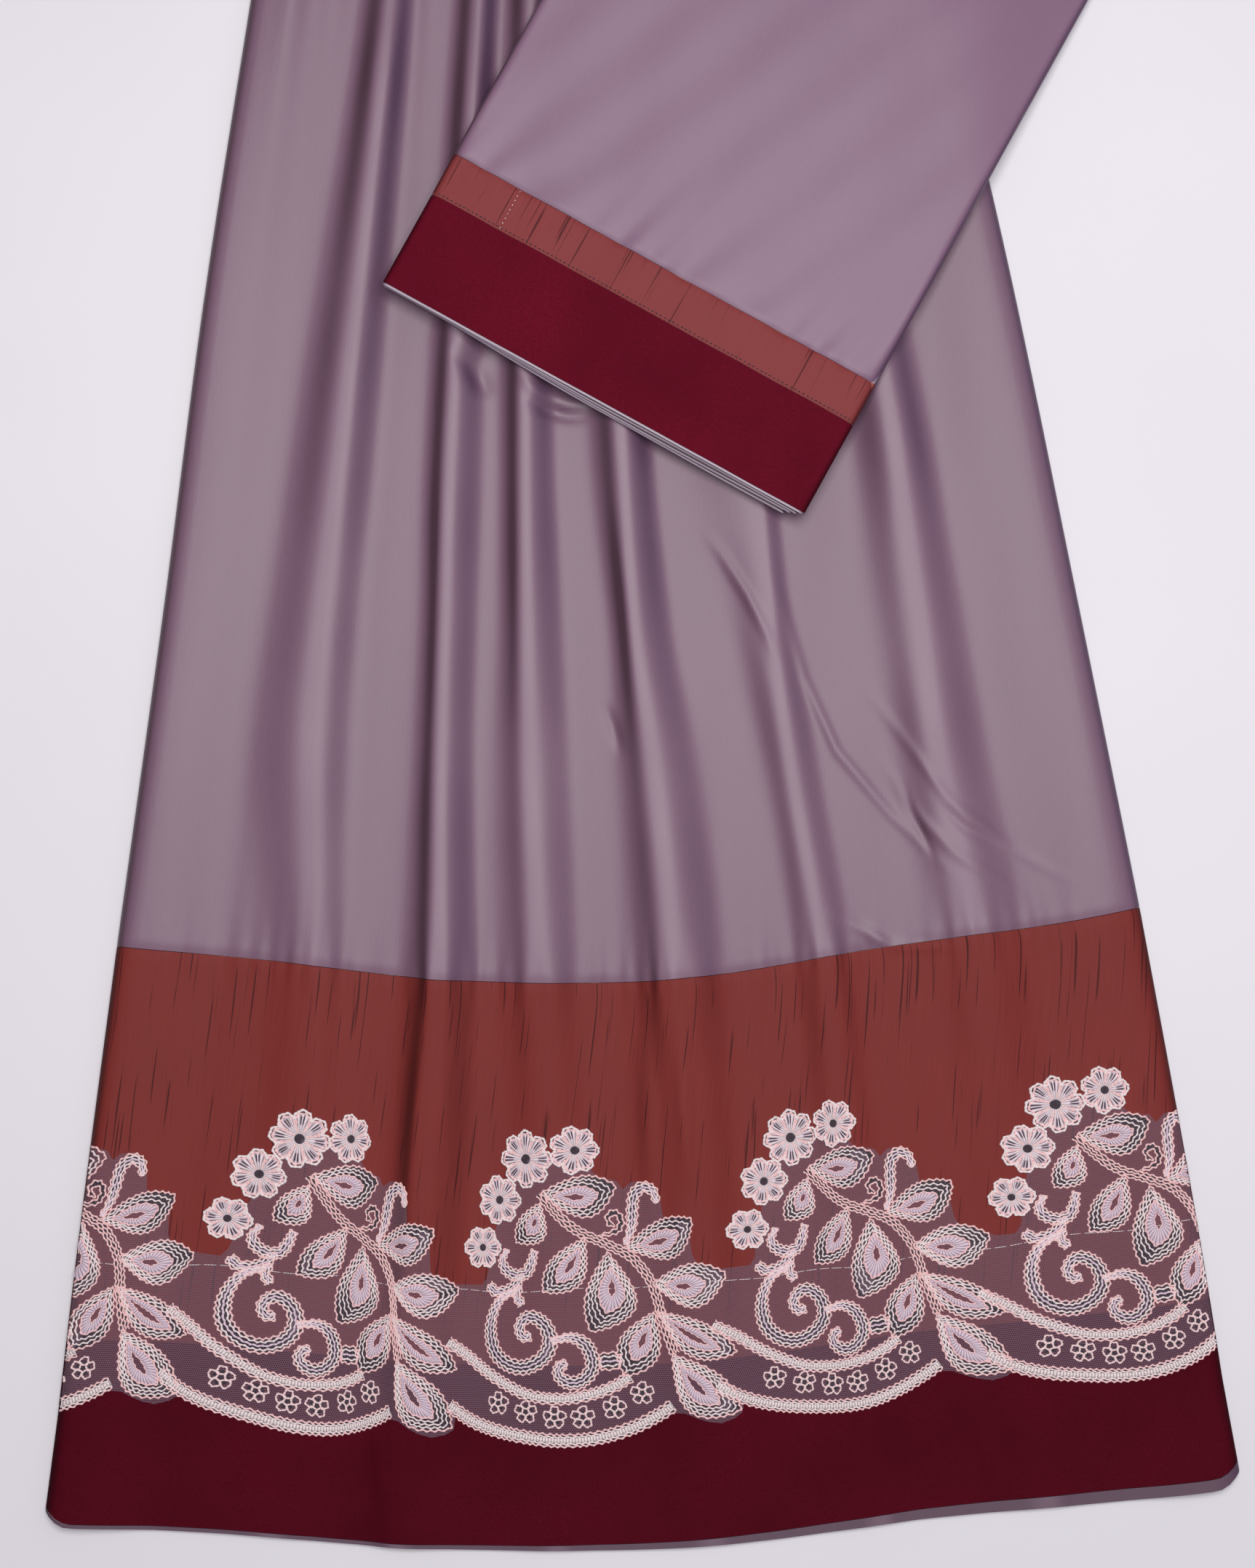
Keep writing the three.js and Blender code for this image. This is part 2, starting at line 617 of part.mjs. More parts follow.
piece("skirt_front", frontPiece(RUST_TOP + GAP, WAISTBAND_BOTTOM - GAP, 12), MAUVE);
piece("skirt_back", backPiece(RUST_TOP + GAP, WAISTBAND_BOTTOM - GAP, 5), MAUVE);
piece("waistband_front", frontPiece(WAISTBAND_BOTTOM, SKIRT_LENGTH, 1, CLOTH + 0.6), MAUVE);
piece("waistband_back", backPiece(WAISTBAND_BOTTOM, SKIRT_LENGTH, 1), MAUVE);
piece("rust_band_front", frontPiece(MAROON_TOP + GAP, RUST_TOP, RUST_ROWS), RUST);
piece("rust_band_back", backPiece(MAROON_TOP + GAP, RUST_TOP, 2), RUST);
piece("maroon_band_front", frontPiece(PIPING_TOP + GAP, MAROON_TOP, MAROON_ROWS), MAROON);
piece("maroon_band_back", backPiece(PIPING_TOP + GAP, MAROON_TOP, 2), MAROON);
piece("hem_piping_front", frontPiece(0, PIPING_TOP, 1), MAUVE);
piece("hem_piping_back", backPiece(0, PIPING_TOP, 1), MAUVE);
piece("lace_front", laceGeometry(), NET_AND_CORD);

piece("pardi_folded_layers", pardiStack(), MAUVE);
piece("pardi_panel", pardiStrip(PANEL_ROWS), MAUVE);
piece("pardi_rust_band", pardiStrip(RUST_BAND_ROWS), RUST);
piece("pardi_maroon_band", pardiStrip(MAROON_BAND_ROWS), MAROON);
piece("pardi_piping", pardiStrip(PIPING_ROWS), MAUVE);

// The origin is under the middle of the whole, on the surface that it lies on.
const extent = new THREE.Box3().setFromObject(rida);
const middle = extent.getCenter(new THREE.Vector3());
rida.position.set(-middle.x, -middle.y, -extent.min.z);

export default rida;
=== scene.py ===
"""A rida laid out on a table: a long gathered skirt, and its pardi folded and laid slantwise on it.

Sizes are in millimetres on the laid-out skirt: x runs across it, y from its hem to its waist and
z up from the table. u is a share of the skirt's width from its left side, and d is the distance
from its hem. A finished point is turned into the frame's metres when its mesh is made.
"""

import bpy
import numpy as np
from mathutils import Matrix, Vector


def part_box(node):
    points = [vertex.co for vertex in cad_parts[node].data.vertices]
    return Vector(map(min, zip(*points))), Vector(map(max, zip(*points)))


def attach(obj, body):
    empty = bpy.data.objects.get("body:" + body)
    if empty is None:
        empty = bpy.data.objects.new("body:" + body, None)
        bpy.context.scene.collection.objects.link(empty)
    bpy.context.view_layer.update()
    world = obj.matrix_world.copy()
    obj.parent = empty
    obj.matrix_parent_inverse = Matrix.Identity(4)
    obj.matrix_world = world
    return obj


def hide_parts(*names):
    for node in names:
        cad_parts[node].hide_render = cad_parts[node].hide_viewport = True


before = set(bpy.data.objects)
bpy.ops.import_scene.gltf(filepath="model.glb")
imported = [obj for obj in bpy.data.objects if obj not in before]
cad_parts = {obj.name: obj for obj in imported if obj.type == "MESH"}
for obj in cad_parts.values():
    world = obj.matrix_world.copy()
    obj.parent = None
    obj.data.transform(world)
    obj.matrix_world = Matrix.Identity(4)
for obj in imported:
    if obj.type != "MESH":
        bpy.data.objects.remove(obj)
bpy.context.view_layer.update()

# ---- Table, light and camera ------------------------------------------------------------------
# The set lies on a smooth white table, under a wide soft light that hangs over it, and is seen
# from almost straight above. Satin is bright where it faces that light and dark on its slopes,
# and painted shade darkens the slopes of the satin, dupion and crêpe further.

VIEW_CENTRE = (0.0, 433.0)  # mm on the laid-out skirt
VIEW_HEIGHT = 890.0
LENS = 70.0
SENSOR = 36.0
TILT = 1.5  # degrees from straight above
AIM_Z = 6.0
TABLE_REACH = 4.0  # metres from the table's middle to its edges
TABLE_Z = -0.0003  # metres

hem_low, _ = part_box("hem_piping_back")
SIDE_AT_HEM = -329.0  # the skirt's leftmost and lowest points
LOWEST = 0.35
SHIFT = np.array([hem_low.x * 1000 - SIDE_AT_HEM, hem_low.y * 1000 - LOWEST, 0.0])


def in_frame(points):
    """Millimetres on the laid-out skirt as metres in the frame: (p + shift) / 1000."""
    return (np.asarray(points, dtype=float) + SHIFT) / 1000


def linear(hex_code):
    """An sRGB hex value as linear RGBA: c / 12.92 up to 0.04045, else ((c + 0.055) / 1.055) ** 2.4."""
    srgb = np.array([int(hex_code[i : i + 2], 16) for i in (1, 3, 5)]) / 255
    rgb = np.where(srgb <= 0.04045, srgb / 12.92, ((srgb + 0.055) / 1.055) ** 2.4)
    return (*rgb.tolist(), 1.0)


def add(tree, kind, inputs=None, **settings):
    """Adds one node with its settings, and sets its inputs or links them to other nodes' outputs."""
    node = tree.nodes.new(kind)
    for name, value in settings.items():
        setattr(node, name, value)
    for socket, value in (inputs or {}).items():
        if isinstance(value, bpy.types.NodeSocket):
            tree.links.new(value, node.inputs[socket])
        else:
            node.inputs[socket].default_value = value
    return node


def new_material(name):
    """An empty node material with its output, and its node tree."""
    material = bpy.data.materials.new(name)
    material.use_nodes = True
    material.node_tree.nodes.clear()
    return material, material.node_tree


def finish_material(tree, inputs):
    """Ends the material with a Principled shader of these inputs, joined to its output."""
    surface = add(tree, "ShaderNodeBsdfPrincipled", inputs)
    add(tree, "ShaderNodeOutputMaterial", {"Surface": surface.outputs["BSDF"]})


# Painted board: matt, almost white and a little cool, with very faint cloudy marks.
board, tree = new_material("painted_board")
place = add(tree, "ShaderNodeTexCoord").outputs["Object"]
clouds = add(tree, "ShaderNodeTexNoise", {"Vector": place, "Scale": 3.0, "Detail": 4.0})
paint = {0: clouds.outputs["Fac"], 6: linear("#dad7df"), 7: linear("#e5e0e8")}
tone = add(tree, "ShaderNodeMix", paint, data_type="RGBA")
finish_material(tree, {"Base Color": tone.outputs[2], "Roughness": 0.55})

floor_mesh = bpy.data.meshes.new("table_top")
corners = [(x * TABLE_REACH, y * TABLE_REACH, TABLE_Z) for x, y in ((-1, -1), (1, -1), (1, 1), (-1, 1))]
floor_mesh.from_pydata(corners, [], [(0, 1, 2, 3)])
floor = bpy.data.objects.new("table_top", floor_mesh)
floor_mesh.materials.append(board)
bpy.context.scene.collection.objects.link(floor)

world = bpy.data.worlds.new("room")
world.use_nodes = True
background = world.node_tree.nodes["Background"]
background.inputs["Color"].default_value = linear("#dcdce6")
background.inputs["Strength"].default_value = 0.24
bpy.context.scene.world = world
bpy.context.scene.view_settings.view_transform = "Standard"

# Each light: its place over the table's middle and its size in metres, its power and its colour.
LIGHTS = [
    {"name": "overhead_panel", "at": (0.10, 0.25, 2.3), "size": 1.4, "power": 51.0, "colour": "#fffdfa"},
    {"name": "window_side", "at": (1.9, 0.5, 1.6), "size": 1.6, "power": 6.0, "colour": "#f2f4ff"},
]
for row in LIGHTS:
    lamp = bpy.data.lights.new(row["name"], "AREA")
    lamp.energy = row["power"]
    lamp.size = row["size"]
    lamp.color = linear(row["colour"])[:3]
    lamp_object = bpy.data.objects.new(row["name"], lamp)
    lamp_object.location = row["at"]
    x, y, z = row["at"]
    lamp_object.rotation_euler = (np.arctan2(np.hypot(x, y), z), 0, np.arctan2(y, x) + np.pi / 2)
    bpy.context.scene.collection.objects.link(lamp_object)

camera = bpy.data.cameras.new("camera")
camera.lens = LENS
camera.sensor_width = SENSOR
camera_object = bpy.data.objects.new("camera", camera)
tilt = np.radians(TILT)
away = VIEW_HEIGHT / 1000 * LENS / SENSOR
aim = in_frame([*VIEW_CENTRE, AIM_Z])
camera_object.location = (aim[0], aim[1] - away * np.sin(tilt), aim[2] + away * np.cos(tilt))
camera_object.rotation_euler = (tilt, 0, 0)
bpy.context.scene.collection.objects.link(camera_object)
bpy.context.scene.camera = camera_object

# ---- The skirt's mauve panel ------------------------------------------------------------------
# Heavy polyester satin, cut wide, gathered into the waist and sewn up into a tube, so that laid
# flat it lies in two layers. Long folds run down from the gathers and spread towards the hem,
# and a few shallow creases cross them.

RUST_TOP = 320.0
WAISTBAND_BOTTOM = 962.0
SKIRT_LENGTH = 1000.0
SEAM = 0.15  # half of the gap at a seam
SEAM_WIDTH = 620.0
FLAT_TOP = 3.1  # outer face where the front lies on the back
SIDE_Z = 1.7  # height of the turn at each side
BACK_Z = 0.25
WEAVE = 0.0003  # metres, the depth of a weave

# The skirt's sides, by distance from the hem.
SIDE_D = np.array([0, 150, 320, 520, 700, 870, 1000.0])
LEFT_X = np.array([-329, -312, -290, -264, -242, -217, -197.0])
RIGHT_X = np.array([346, 322, 291, 254, 220, 184, 157.0])

# How far the hem lies above its lowest point, across the width.
HEM_U = np.array([0, 0.15, 0.31, 0.49, 0.6, 0.74, 0.92, 1])
HEM_RISE = np.array([14, 9.5, 1.4, 0.4, 5.5, 18, 29, 36.0])

# The rounded turn at each side: its width and height, and how far in it has sunk flat.
ROLL_WIDTH = {"left": 9.0, "right": 12.0}
ROLL_HEIGHT = {"left": 9.0, "right": 8.0}
ROLL_FADE = 55.0

# The long folds. At each station: the crest's place across the width, its spread to either side,
# its height, and how far it leans over to the left.
STATIONS = np.array([0, 200, 320, 440, 520, 620, 830, 1000.0])
FOLDS = [
    {"crest": [0.19, 0.19, 0.19, 0.175, 0.175, 0.182, 0.2, 0.212],
     "height": [1.2, 3, 5, 6, 6.8, 8, 9, 8], "lean": [0, 1, 0.5, 1, 1, 0.5, 0, 0],
     "left": [20, 17, 15, 19, 17, 14, 9, 7], "right": [14, 13, 11, 12, 11.5, 11, 8, 6]},
    {"crest": [0.295, 0.305, 0.314, 0.309, 0.308, 0.309, 0.324, 0.335],
     "height": [3, 8.5, 9.5, 7, 7, 7.5, 8, 8], "lean": [2, 4, 3.5, 2.5, 2.5, 2, 1, 0],
     "left": [12, 12.5, 12, 9, 8.2, 8.2, 8, 6], "right": [14, 13, 10, 9, 8.7, 9, 6, 6]},
    {"crest": [0.43, 0.422, 0.414, 0.404, 0.399, 0.397, 0.4, 0.41],
     "height": [1.2, 3, 5.5, 6, 7, 8, 8, 8], "lean": [0, 1, 3, 3.5, 3, 2, 1, 0],
     "left": [14, 14, 14, 13, 10, 8.5, 8, 6], "right": [12, 12, 10.5, 10.5, 9.3, 8, 7, 6]},
    {"crest": [0.56, 0.555, 0.548, 0.532, 0.518, 0.512, 0.505, 0.5],
     "height": [1.6, 6.5, 8, 7.5, 8, 9, 9, 9], "lean": [0, 2, 4, 4, 3, 3, 2, 2],
     "left": [18, 18, 17, 13.5, 9, 11.5, 9, 7], "right": [14, 13.5, 13, 11.5, 9.5, 7, 7, 6]},
    {"crest": [0.7, 0.695, 0.69, 0.675, 0.667, 0.666, 0.66, 0.65],
     "height": [1.5, 3.5, 4.8, 4.2, 4, 4, 6, 8], "lean": [0, 1, 1, 1.5, 1, 1, 1, 1],
     "left": [15, 12, 10, 10, 14, 22, 14, 10], "right": [12, 10, 9, 7, 5.5, 5, 6, 6]},
    {"crest": [0.84, 0.842, 0.84, 0.829, 0.829, 0.828, 0.81, 0.8],
     "height": [1.4, 3, 5.5, 6.5, 6.5, 8, 9, 9], "lean": [0, 1, 3, 3, 2, 1, 0, 0],
     "left": [18, 18, 18, 17, 17, 14, 10, 9], "right": [14, 14, 13, 12, 11, 10, 8, 6]},
]

# Shallow creases across the folds: points (x, y), half their width and their height.
CREASES = [
    {"at": [(42, 578), (54, 563), (68, 541), (80, 518), (86, 500)], "width": 3.0, "height": 1.4},
    {"at": [(83, 554), (101, 492), (119, 452), (150, 415), (190, 378)], "width": 2.7, "height": 1.1},
    {"at": [(138, 455), (165, 415), (190, 393), (230, 366)], "width": 2.9, "height": 0.7},
    {"at": [(125, 500), (150, 468), (185, 424), (216, 397), (258, 374)], "width": 2.9, "height": 0.7},
    {"at": [(154, 437), (162, 417), (177, 387)], "width": 2.3, "height": -1.2},
    {"at": [(180, 422), (194, 408), (214, 397)], "width": 2.3, "height": -0.9},
    {"at": [(112, 362), (150, 341), (190, 341)], "width": 3.0, "height": 1.2},
    {"at": [(-97, 684), (-89, 672), (-80, 652)], "width": 5.0, "height": -2.4},
    {"at": [(-64, 672), (-50, 656), (-36, 650), (-16, 648)], "width": 3.6, "height": 1.3},
    {"at": [(-58, 657), (-47, 646), (-34, 643), (-18, 642)], "width": 3.4, "height": -1.5},
    {"at": [(-14, 480), (-8, 466), (-3, 448)], "width": 3.0, "height": -1.0},
    {"at": [(-150, 104), (-141, 62), (-138, 20)], "width": 6, "height": 1.2},
    {"at": [(197, 88), (200, 66), (209, 28)], "width": 5, "height": 1.1},
    {"at": [(10, 300), (12, 230), (14, 170)], "width": 6, "height": 1.7},
    {"at": [(34, 306), (35, 240), (38, 190)], "width": 5, "height": 1.5},
]

PRESSED = 12.8  # no fold of the skirt stands higher than the underside of the pardi
GATHERS = 15  # across the waist
GATHER_HEIGHT = 2.6
GATHER_LIFT = 3.6
GATHER_REACH = 150.0


def smooth(low, high, value):
    """Runs from 0 to 1 between low and high as 3t^2 - 2t^3."""
    t = np.clip((value - low) / (high - low), 0, 1)
    return t * t * (3 - 2 * t)


def through(xs, ys, x):
    """A cubic Hermite curve through (xs, ys), with each slope taken from its two neighbours."""
    xs, ys = np.asarray(xs, float), np.asarray(ys, float)
    steps = np.diff(ys) / np.diff(xs)
    slopes = np.concatenate([steps[:1], (ys[2:] - ys[:-2]) / (xs[2:] - xs[:-2]), steps[-1:]])
    i = np.clip(np.searchsorted(xs, x, side="right") - 1, 0, len(xs) - 2)
    span = xs[i + 1] - xs[i]
    t = np.clip((x - xs[i]) / span, 0, 1)
    rise = (3 - 2 * t) * t * t
    bend = (t**3 - 2 * t**2 + t) * slopes[i] + (t**3 - t**2) * slopes[i + 1]
    return (1 - rise) * ys[i] + rise * ys[i + 1] + bend * span


def side_x(table, d):
    """Where one side of the skirt lies at a distance from the hem."""
    return through(SIDE_D, table, d)


def skirt_width(d):
    """The laid-out skirt's width at a distance from the hem."""
    return side_x(RIGHT_X, d) - side_x(LEFT_X, d)


def skirt_place(u, d):
    """The point (u, d) seen from above: between the two sides, and raised by the hem's curve, which
    fades out towards the waist, by the seam's upturn at the sides and by the rounded corners."""
    x = side_x(LEFT_X, d) + u * skirt_width(d)
    fade = np.clip((SKIRT_LENGTH - d) / (SKIRT_LENGTH - RUST_TOP), 0, 1)
    upturn = 7 * (2 * u - 1) ** 2 * np.clip(d / RUST_TOP, 0, 1)
    from_side = np.minimum(u, 1 - u) * skirt_width(d)
    corner = 9 * np.maximum(0, 1 - from_side / 14) ** 2 * np.maximum(0, 1 - d / 60)
    return x, d + (through(HEM_U, HEM_RISE, u) + upturn) * fade + corner


def distance_run(points):
    """How far along a line through points each of them lies."""
    return np.concatenate([[0], np.cumsum(np.hypot(*np.diff(points, axis=0).T))])


def near_path(x, y, points):
    """Distance from (x, y) to a line through points, and the share of the line at the nearest one."""
    points = np.asarray(points, float)
    starts = distance_run(points)
    best = np.full(np.shape(x), np.inf)
    share = np.zeros(np.shape(x))
    for (ax, ay), (bx, by), start, length in zip(points[:-1], points[1:], starts, np.diff(starts)):
        t = np.clip(((x - ax) * (bx - ax) + (y - ay) * (by - ay)) / length**2, 0, 1)
        away = np.hypot(x - ax - t * (bx - ax), y - ay - t * (by - ay))
        share = np.where(away < best, (start + t * length) / starts[-1], share)
        best = np.minimum(best, away)
    return best, share


def ripple(x, y, lengths, seed):
    """Gentle unevenness from -1 to 1: the mean of sine waves of several lengths and directions."""
    random = np.random.default_rng(seed)
    total = np.zeros(np.broadcast(x, y).shape)
    for length in lengths:
        turn, phase = random.uniform(0, 2 * np.pi, 2)
        total += np.sin(2 * np.pi * (x * np.cos(turn) + y * np.sin(turn)) / length + phase)
    return total / len(lengths)


def seam_puckers(u, d, seam, reach, height):
    """Small uneven gathers along a seam, dying away with the distance from it: two sine waves, 13
    and 27 mm long, whose phases drift as sines of their own."""
    along = u * SEAM_WIDTH
    wave = np.sin(along / 2.1 + 2.4 * np.sin(along / 17))
    wave = wave + 0.7 * np.sin(along / 4.3 + 1.3 * np.sin(along / 31))
    return height * wave * np.exp(-np.abs(d - seam) / reach)


def near_waist(d):
    """Runs from 0 low down to 1 at the waist as an exponential of the distance from it."""
    return np.exp(-2 * (SKIRT_LENGTH - d) / GATHER_REACH)


def inside_sides(u, d):
    """Runs from 0 to 1 between 4 and 26 mm in from the nearer side."""
    return smooth(4, 26, np.minimum(u, 1 - u) * skirt_width(d))


def fold_bells(u, d):
    """Each fold's height and lean at (u, d) with its share of that height: a bell curve
    exp(-0.5 * |a|^2.6), where a is the distance from the crest over the spread on that side. It
    fades near the waist and the sides."""
    kept = inside_sides(u, d) * (1 - 0.65 * near_waist(d))
    for fold in FOLDS:
        crest, height, lean, left, right = (
            through(STATIONS, fold[key], d) for key in ("crest", "height", "lean", "left", "right")
        )
        away = (u - crest) * skirt_width(d) - lean
        share = np.exp(-0.5 * np.abs(away / np.where(away < 0, left, right)) ** 2.6)
        yield height, share * kept, lean


def skirt_height(u, d):
    """Height of the front's outer face: flat cloth, the roll at each side (a quarter ellipse that
    then sinks), the folds (bell curves with their own spread on either side), gathers near the
    waist, creases, seam puckers and a slight unevenness. Also how far the folds lean."""
    width = skirt_width(d)
    x, y = skirt_place(u, d)
    height = np.full(np.shape(x), FLAT_TOP)
    for side, away in (("left", u * width), ("right", (1 - u) * width)):
        share = np.clip(away / ROLL_WIDTH[side], 0, 1)
        rolled = SIDE_Z + (ROLL_HEIGHT[side] - SIDE_Z) * np.sqrt(1 - (1 - share) ** 2)
        sunk = smooth(ROLL_WIDTH[side], ROLL_WIDTH[side] + ROLL_FADE, away)
        height = height + (rolled - FLAT_TOP) * (1 - sunk)
    inside = inside_sides(u, d)
    leaning = np.zeros(np.shape(x))
    for number, (full, bell, lean) in enumerate(fold_bells(u, d)):
        uneven = 1 + 0.05 * np.sin(d / 31 + 1.3 * number) + 0.03 * np.sin(d / 13 + number)
        height = height + full * bell * uneven
        leaning = leaning + lean * bell**2
    gathers = GATHER_LIFT + GATHER_HEIGHT * np.cos(2 * np.pi * GATHERS * u + 1.2 * np.sin(9 * u))
    height = height + near_waist(d) * inside * gathers
    for crease in CREASES:
        away, share = near_path(x, y, crease["at"])
        across, along = np.exp(-((away / crease["width"]) ** 2)), np.sin(np.pi * share) ** 1.2
        height = height + crease["height"] * across * along
    height = height + inside * seam_puckers(u, d, RUST_TOP, 14, 0.3)
    height = height + inside * 0.55 * ripple(x * 1.6, y * 0.45, (70, 95, 130, 180), 4)
    height = height - 0.5 * np.exp(-(((d - RUST_TOP) / 2.5) ** 2))
    over = np.maximum(0, height - (PRESSED - 2))
    return np.where(over > 0, PRESSED - 2 + 2 * np.tanh(over / 2), height), leaning


def skirt_point(u, d, out=0.0):
    """The front's outer face at (u, d), or a point that stands out from it along its normal, which
    is the cross product of the surface's steps along u and d."""

    def face(u, d):
        x, y = skirt_place(u, d)
        z, lean = skirt_height(u, d)
        return np.stack([x - lean, y, z], axis=-1)

    point = face(u, d)
    if np.all(out == 0):
        return point
    u_low, u_high = np.clip(u - 0.0012, 0, 1), np.clip(u + 0.0012, 0, 1)
    across = face(u_high, d) - face(u_low, d)
    along = face(u, d + 1) - face(u, d - 1)
    normal = np.cross(across, along)
    normal /= np.linalg.norm(normal, axis=-1, keepdims=True)
    return point + normal * np.asarray(out)[..., None]


def make_piece(name, points, faces, uv, material, values=None):
    """A smooth mesh of four-cornered faces from lists or grids of points, with a UV pair for every
    point and one value of its own where values is given, riding on the part's only body."""
    mesh = bpy.data.meshes.new(name)
    faces = np.asarray(faces, dtype=np.int32)
    points = in_frame(points).reshape(-1, 3)
    mesh.vertices.add(len(points))
    mesh.vertices.foreach_set("co", points.astype(np.float32).ravel())
    mesh.loops.add(faces.size)
    mesh.loops.foreach_set("vertex_index", faces.ravel())
    mesh.polygons.add(len(faces))
    mesh.polygons.foreach_set("loop_start", np.arange(0, faces.size, 4, dtype=np.int32))
    layer = mesh.uv_layers.new(name="cloth")
    layer.data.foreach_set("uv", np.reshape(uv, (-1, 2))[faces.ravel()].astype(np.float32).ravel())
    if values is not None:
        tone = mesh.attributes.new("tone", "FLOAT", "POINT")
        tone.data.foreach_set("value", np.ravel(values).astype(np.float32))
    mesh.update(calc_edges=True)
    mesh.validate()
    mesh.polygons.foreach_set("use_smooth", np.ones(len(mesh.polygons), dtype=bool))
    mesh.materials.append(material)
    piece = bpy.data.objects.new(name, mesh)
    bpy.context.scene.collection.objects.link(piece)
    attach(piece, "root")
    return piece


def grid_faces(rows, columns, around=False):
    """Faces of a grid of points, closed round its columns where around is true."""
    across = np.arange(columns if around else columns - 1)
    row, i = np.meshgrid(np.arange(rows - 1), across, indexing="ij")
    low, after = row * columns, (i + 1) % columns
    high = low + columns
    return np.stack([low + i, low + after, high + after, high + i], axis=-1).reshape(-1, 4)


FRONT_COLUMNS = 316
BACK_COLUMNS = 22
TURN_SHARE = 0.055  # of the width, at each side, where the columns stand closer


def tube_columns():
    """Shares of the width along the front, closer together at its sides, and back along the back."""
    turn = TURN_SHARE * (1 - np.cos(np.linspace(0, np.pi / 2, 9)))
    middle = np.linspace(TURN_SHARE, 1 - TURN_SHARE, FRONT_COLUMNS)
    front = np.concatenate([turn[:-1], middle, 1 - turn[-2::-1]])
    back = 0.5 + 0.5 * np.cos(np.linspace(0, np.pi, BACK_COLUMNS + 2)[1:-1])
    return front, back


def skirt_tube(name, low, high, rows, material, swell=0.0):
    """One strip of the skirt all round, between two distances from the hem, each one number or a
    function of u: the front's outer face from the left side to the right one, and the back's face,
    flat on the table, from the right side to the left one."""
    front, back = tube_columns()
    u, share = np.meshgrid(np.concatenate([front, back]), np.linspace(0, 1, rows))
    bottom = low(u) if callable(low) else low
    top = high(u) if callable(high) else high
    d = bottom + (top - bottom) * share
    x, y = skirt_place(u, d)
    points = np.stack([x, y, np.full(x.shape, BACK_Z)], axis=-1)
    shown = len(front)
    points[:, :shown] = skirt_point(u[:, :shown], d[:, :shown], swell)
    steps = np.linalg.norm(np.roll(points, -1, axis=1) - points, axis=-1)
    arc = np.concatenate([np.zeros((rows, 1)), np.cumsum(steps, axis=1)[:, :-1]], axis=1)
    uv = np.stack([arc / 1000, d / 1000], axis=-1)
    # The tone attribute holds a painted highlight: each fold's crest, where the satin is lightened.
    crest = sum(bell**12 for _, bell, _ in fold_bells(u, d))
    crest[:, shown:] = 0
    return make_piece(name, points, grid_faces(*u.shape, around=True), uv, material, crest)


def painted_slope_shade(tree, colour, left, right, share):
    """Painted shade on folded cloth: the steeper the cloth lies, the more of a dark colour is mixed
    into its own, one dark where it faces left and another where it faces right."""
    normal = add(tree, "ShaderNodeNewGeometry").outputs["Normal"]
    facing = add(tree, "ShaderNodeSeparateXYZ", {"Vector": normal})
    faces_right = {"Value": facing.outputs[0], "From Min": -0.2, "From Max": 0.2}
    side = add(tree, "ShaderNodeMapRange", faces_right)
    sides = {0: side.outputs[0], 6: linear(left), 7: linear(right)}
    dark = add(tree, "ShaderNodeMix", sides, data_type="RGBA")
    slope = {"Value": facing.outputs[2], "From Min": 0.975, "From Max": 0.76, "To Max": share}
    steep = add(tree, "ShaderNodeMapRange", slope)
    shaded = {0: steep.outputs[0], 6: colour.outputs[2], 7: dark.outputs[2]}
    return add(tree, "ShaderNodeMix", shaded, data_type="RGBA").outputs[2]


def satin(name, dark, light, roughness):
    """Polyester satin: a close, smooth weave whose floating threads give a soft, wide gloss. Its
    threads are drawn at 0.9 mm, coarser than they are, so that they show as a faint grain. A painted
    highlight lightens the folds' crests and painted shade darkens the slopes."""
    material, tree = new_material(name)
    uv = add(tree, "ShaderNodeUVMap", uv_map="cloth").outputs["UV"]
    place = add(tree, "ShaderNodeTexCoord").outputs["Object"]
    stretched = add(tree, "ShaderNodeMapping", {"Vector": uv, "Scale": (1100.0, 90.0, 1.0)})
    thread = add(tree, "ShaderNodeTexNoise", {"Vector": stretched.outputs[0], "Scale": 1.0, "Detail": 2.0})
    cloud = add(tree, "ShaderNodeTexNoise", {"Vector": place, "Scale": 9.0, "Detail": 3.0})
    grain = add(tree, "ShaderNodeMath", {0: thread.outputs["Fac"], 1: 0.55}, operation="MULTIPLY")
    mottle = {0: cloud.outputs["Fac"], 1: 0.45, 2: grain.outputs[0]}
    mottle = add(tree, "ShaderNodeMath", mottle, operation="MULTIPLY_ADD")
    colours = {0: mottle.outputs[0], 6: linear(dark), 7: linear(light)}
    colour = add(tree, "ShaderNodeMix", colours, data_type="RGBA")
    # Painted highlight: where the tone attribute marks a fold's crest, the colour is mixed towards a
    # lighter mauve.
    crest = add(tree, "ShaderNodeAttribute", attribute_name="tone").outputs["Fac"]
    painted_crest_highlight = add(tree, "ShaderNodeMath", {0: crest, 1: 0.15}, operation="MULTIPLY")
    lit = {0: painted_crest_highlight.outputs[0], 6: colour.outputs[2], 7: linear("#b096a8")}
    colour = add(tree, "ShaderNodeMix", lit, data_type="RGBA")
    relief = {"Height": thread.outputs["Fac"], "Strength": 0.12, "Distance": WEAVE}
    finish_material(tree, {
        "Base Color": painted_slope_shade(tree, colour, "#3a242c", "#452f4a", 0.75), "Roughness": roughness,
        "IOR": 1.5, "Specular IOR Level": 0.42, "Sheen Weight": 0.06, "Sheen Roughness": 0.4,
        "Normal": add(tree, "ShaderNodeBump", relief).outputs[0]})
    return material


mauve_satin = satin("polyester_satin_mauve", "#6c4f64", "#7b5b71", 0.42)
skirt_panel = skirt_tube("skirt_panel", RUST_TOP + SEAM, WAISTBAND_BOTTOM - SEAM, 280, mauve_satin)
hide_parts("skirt_front", "skirt_back")

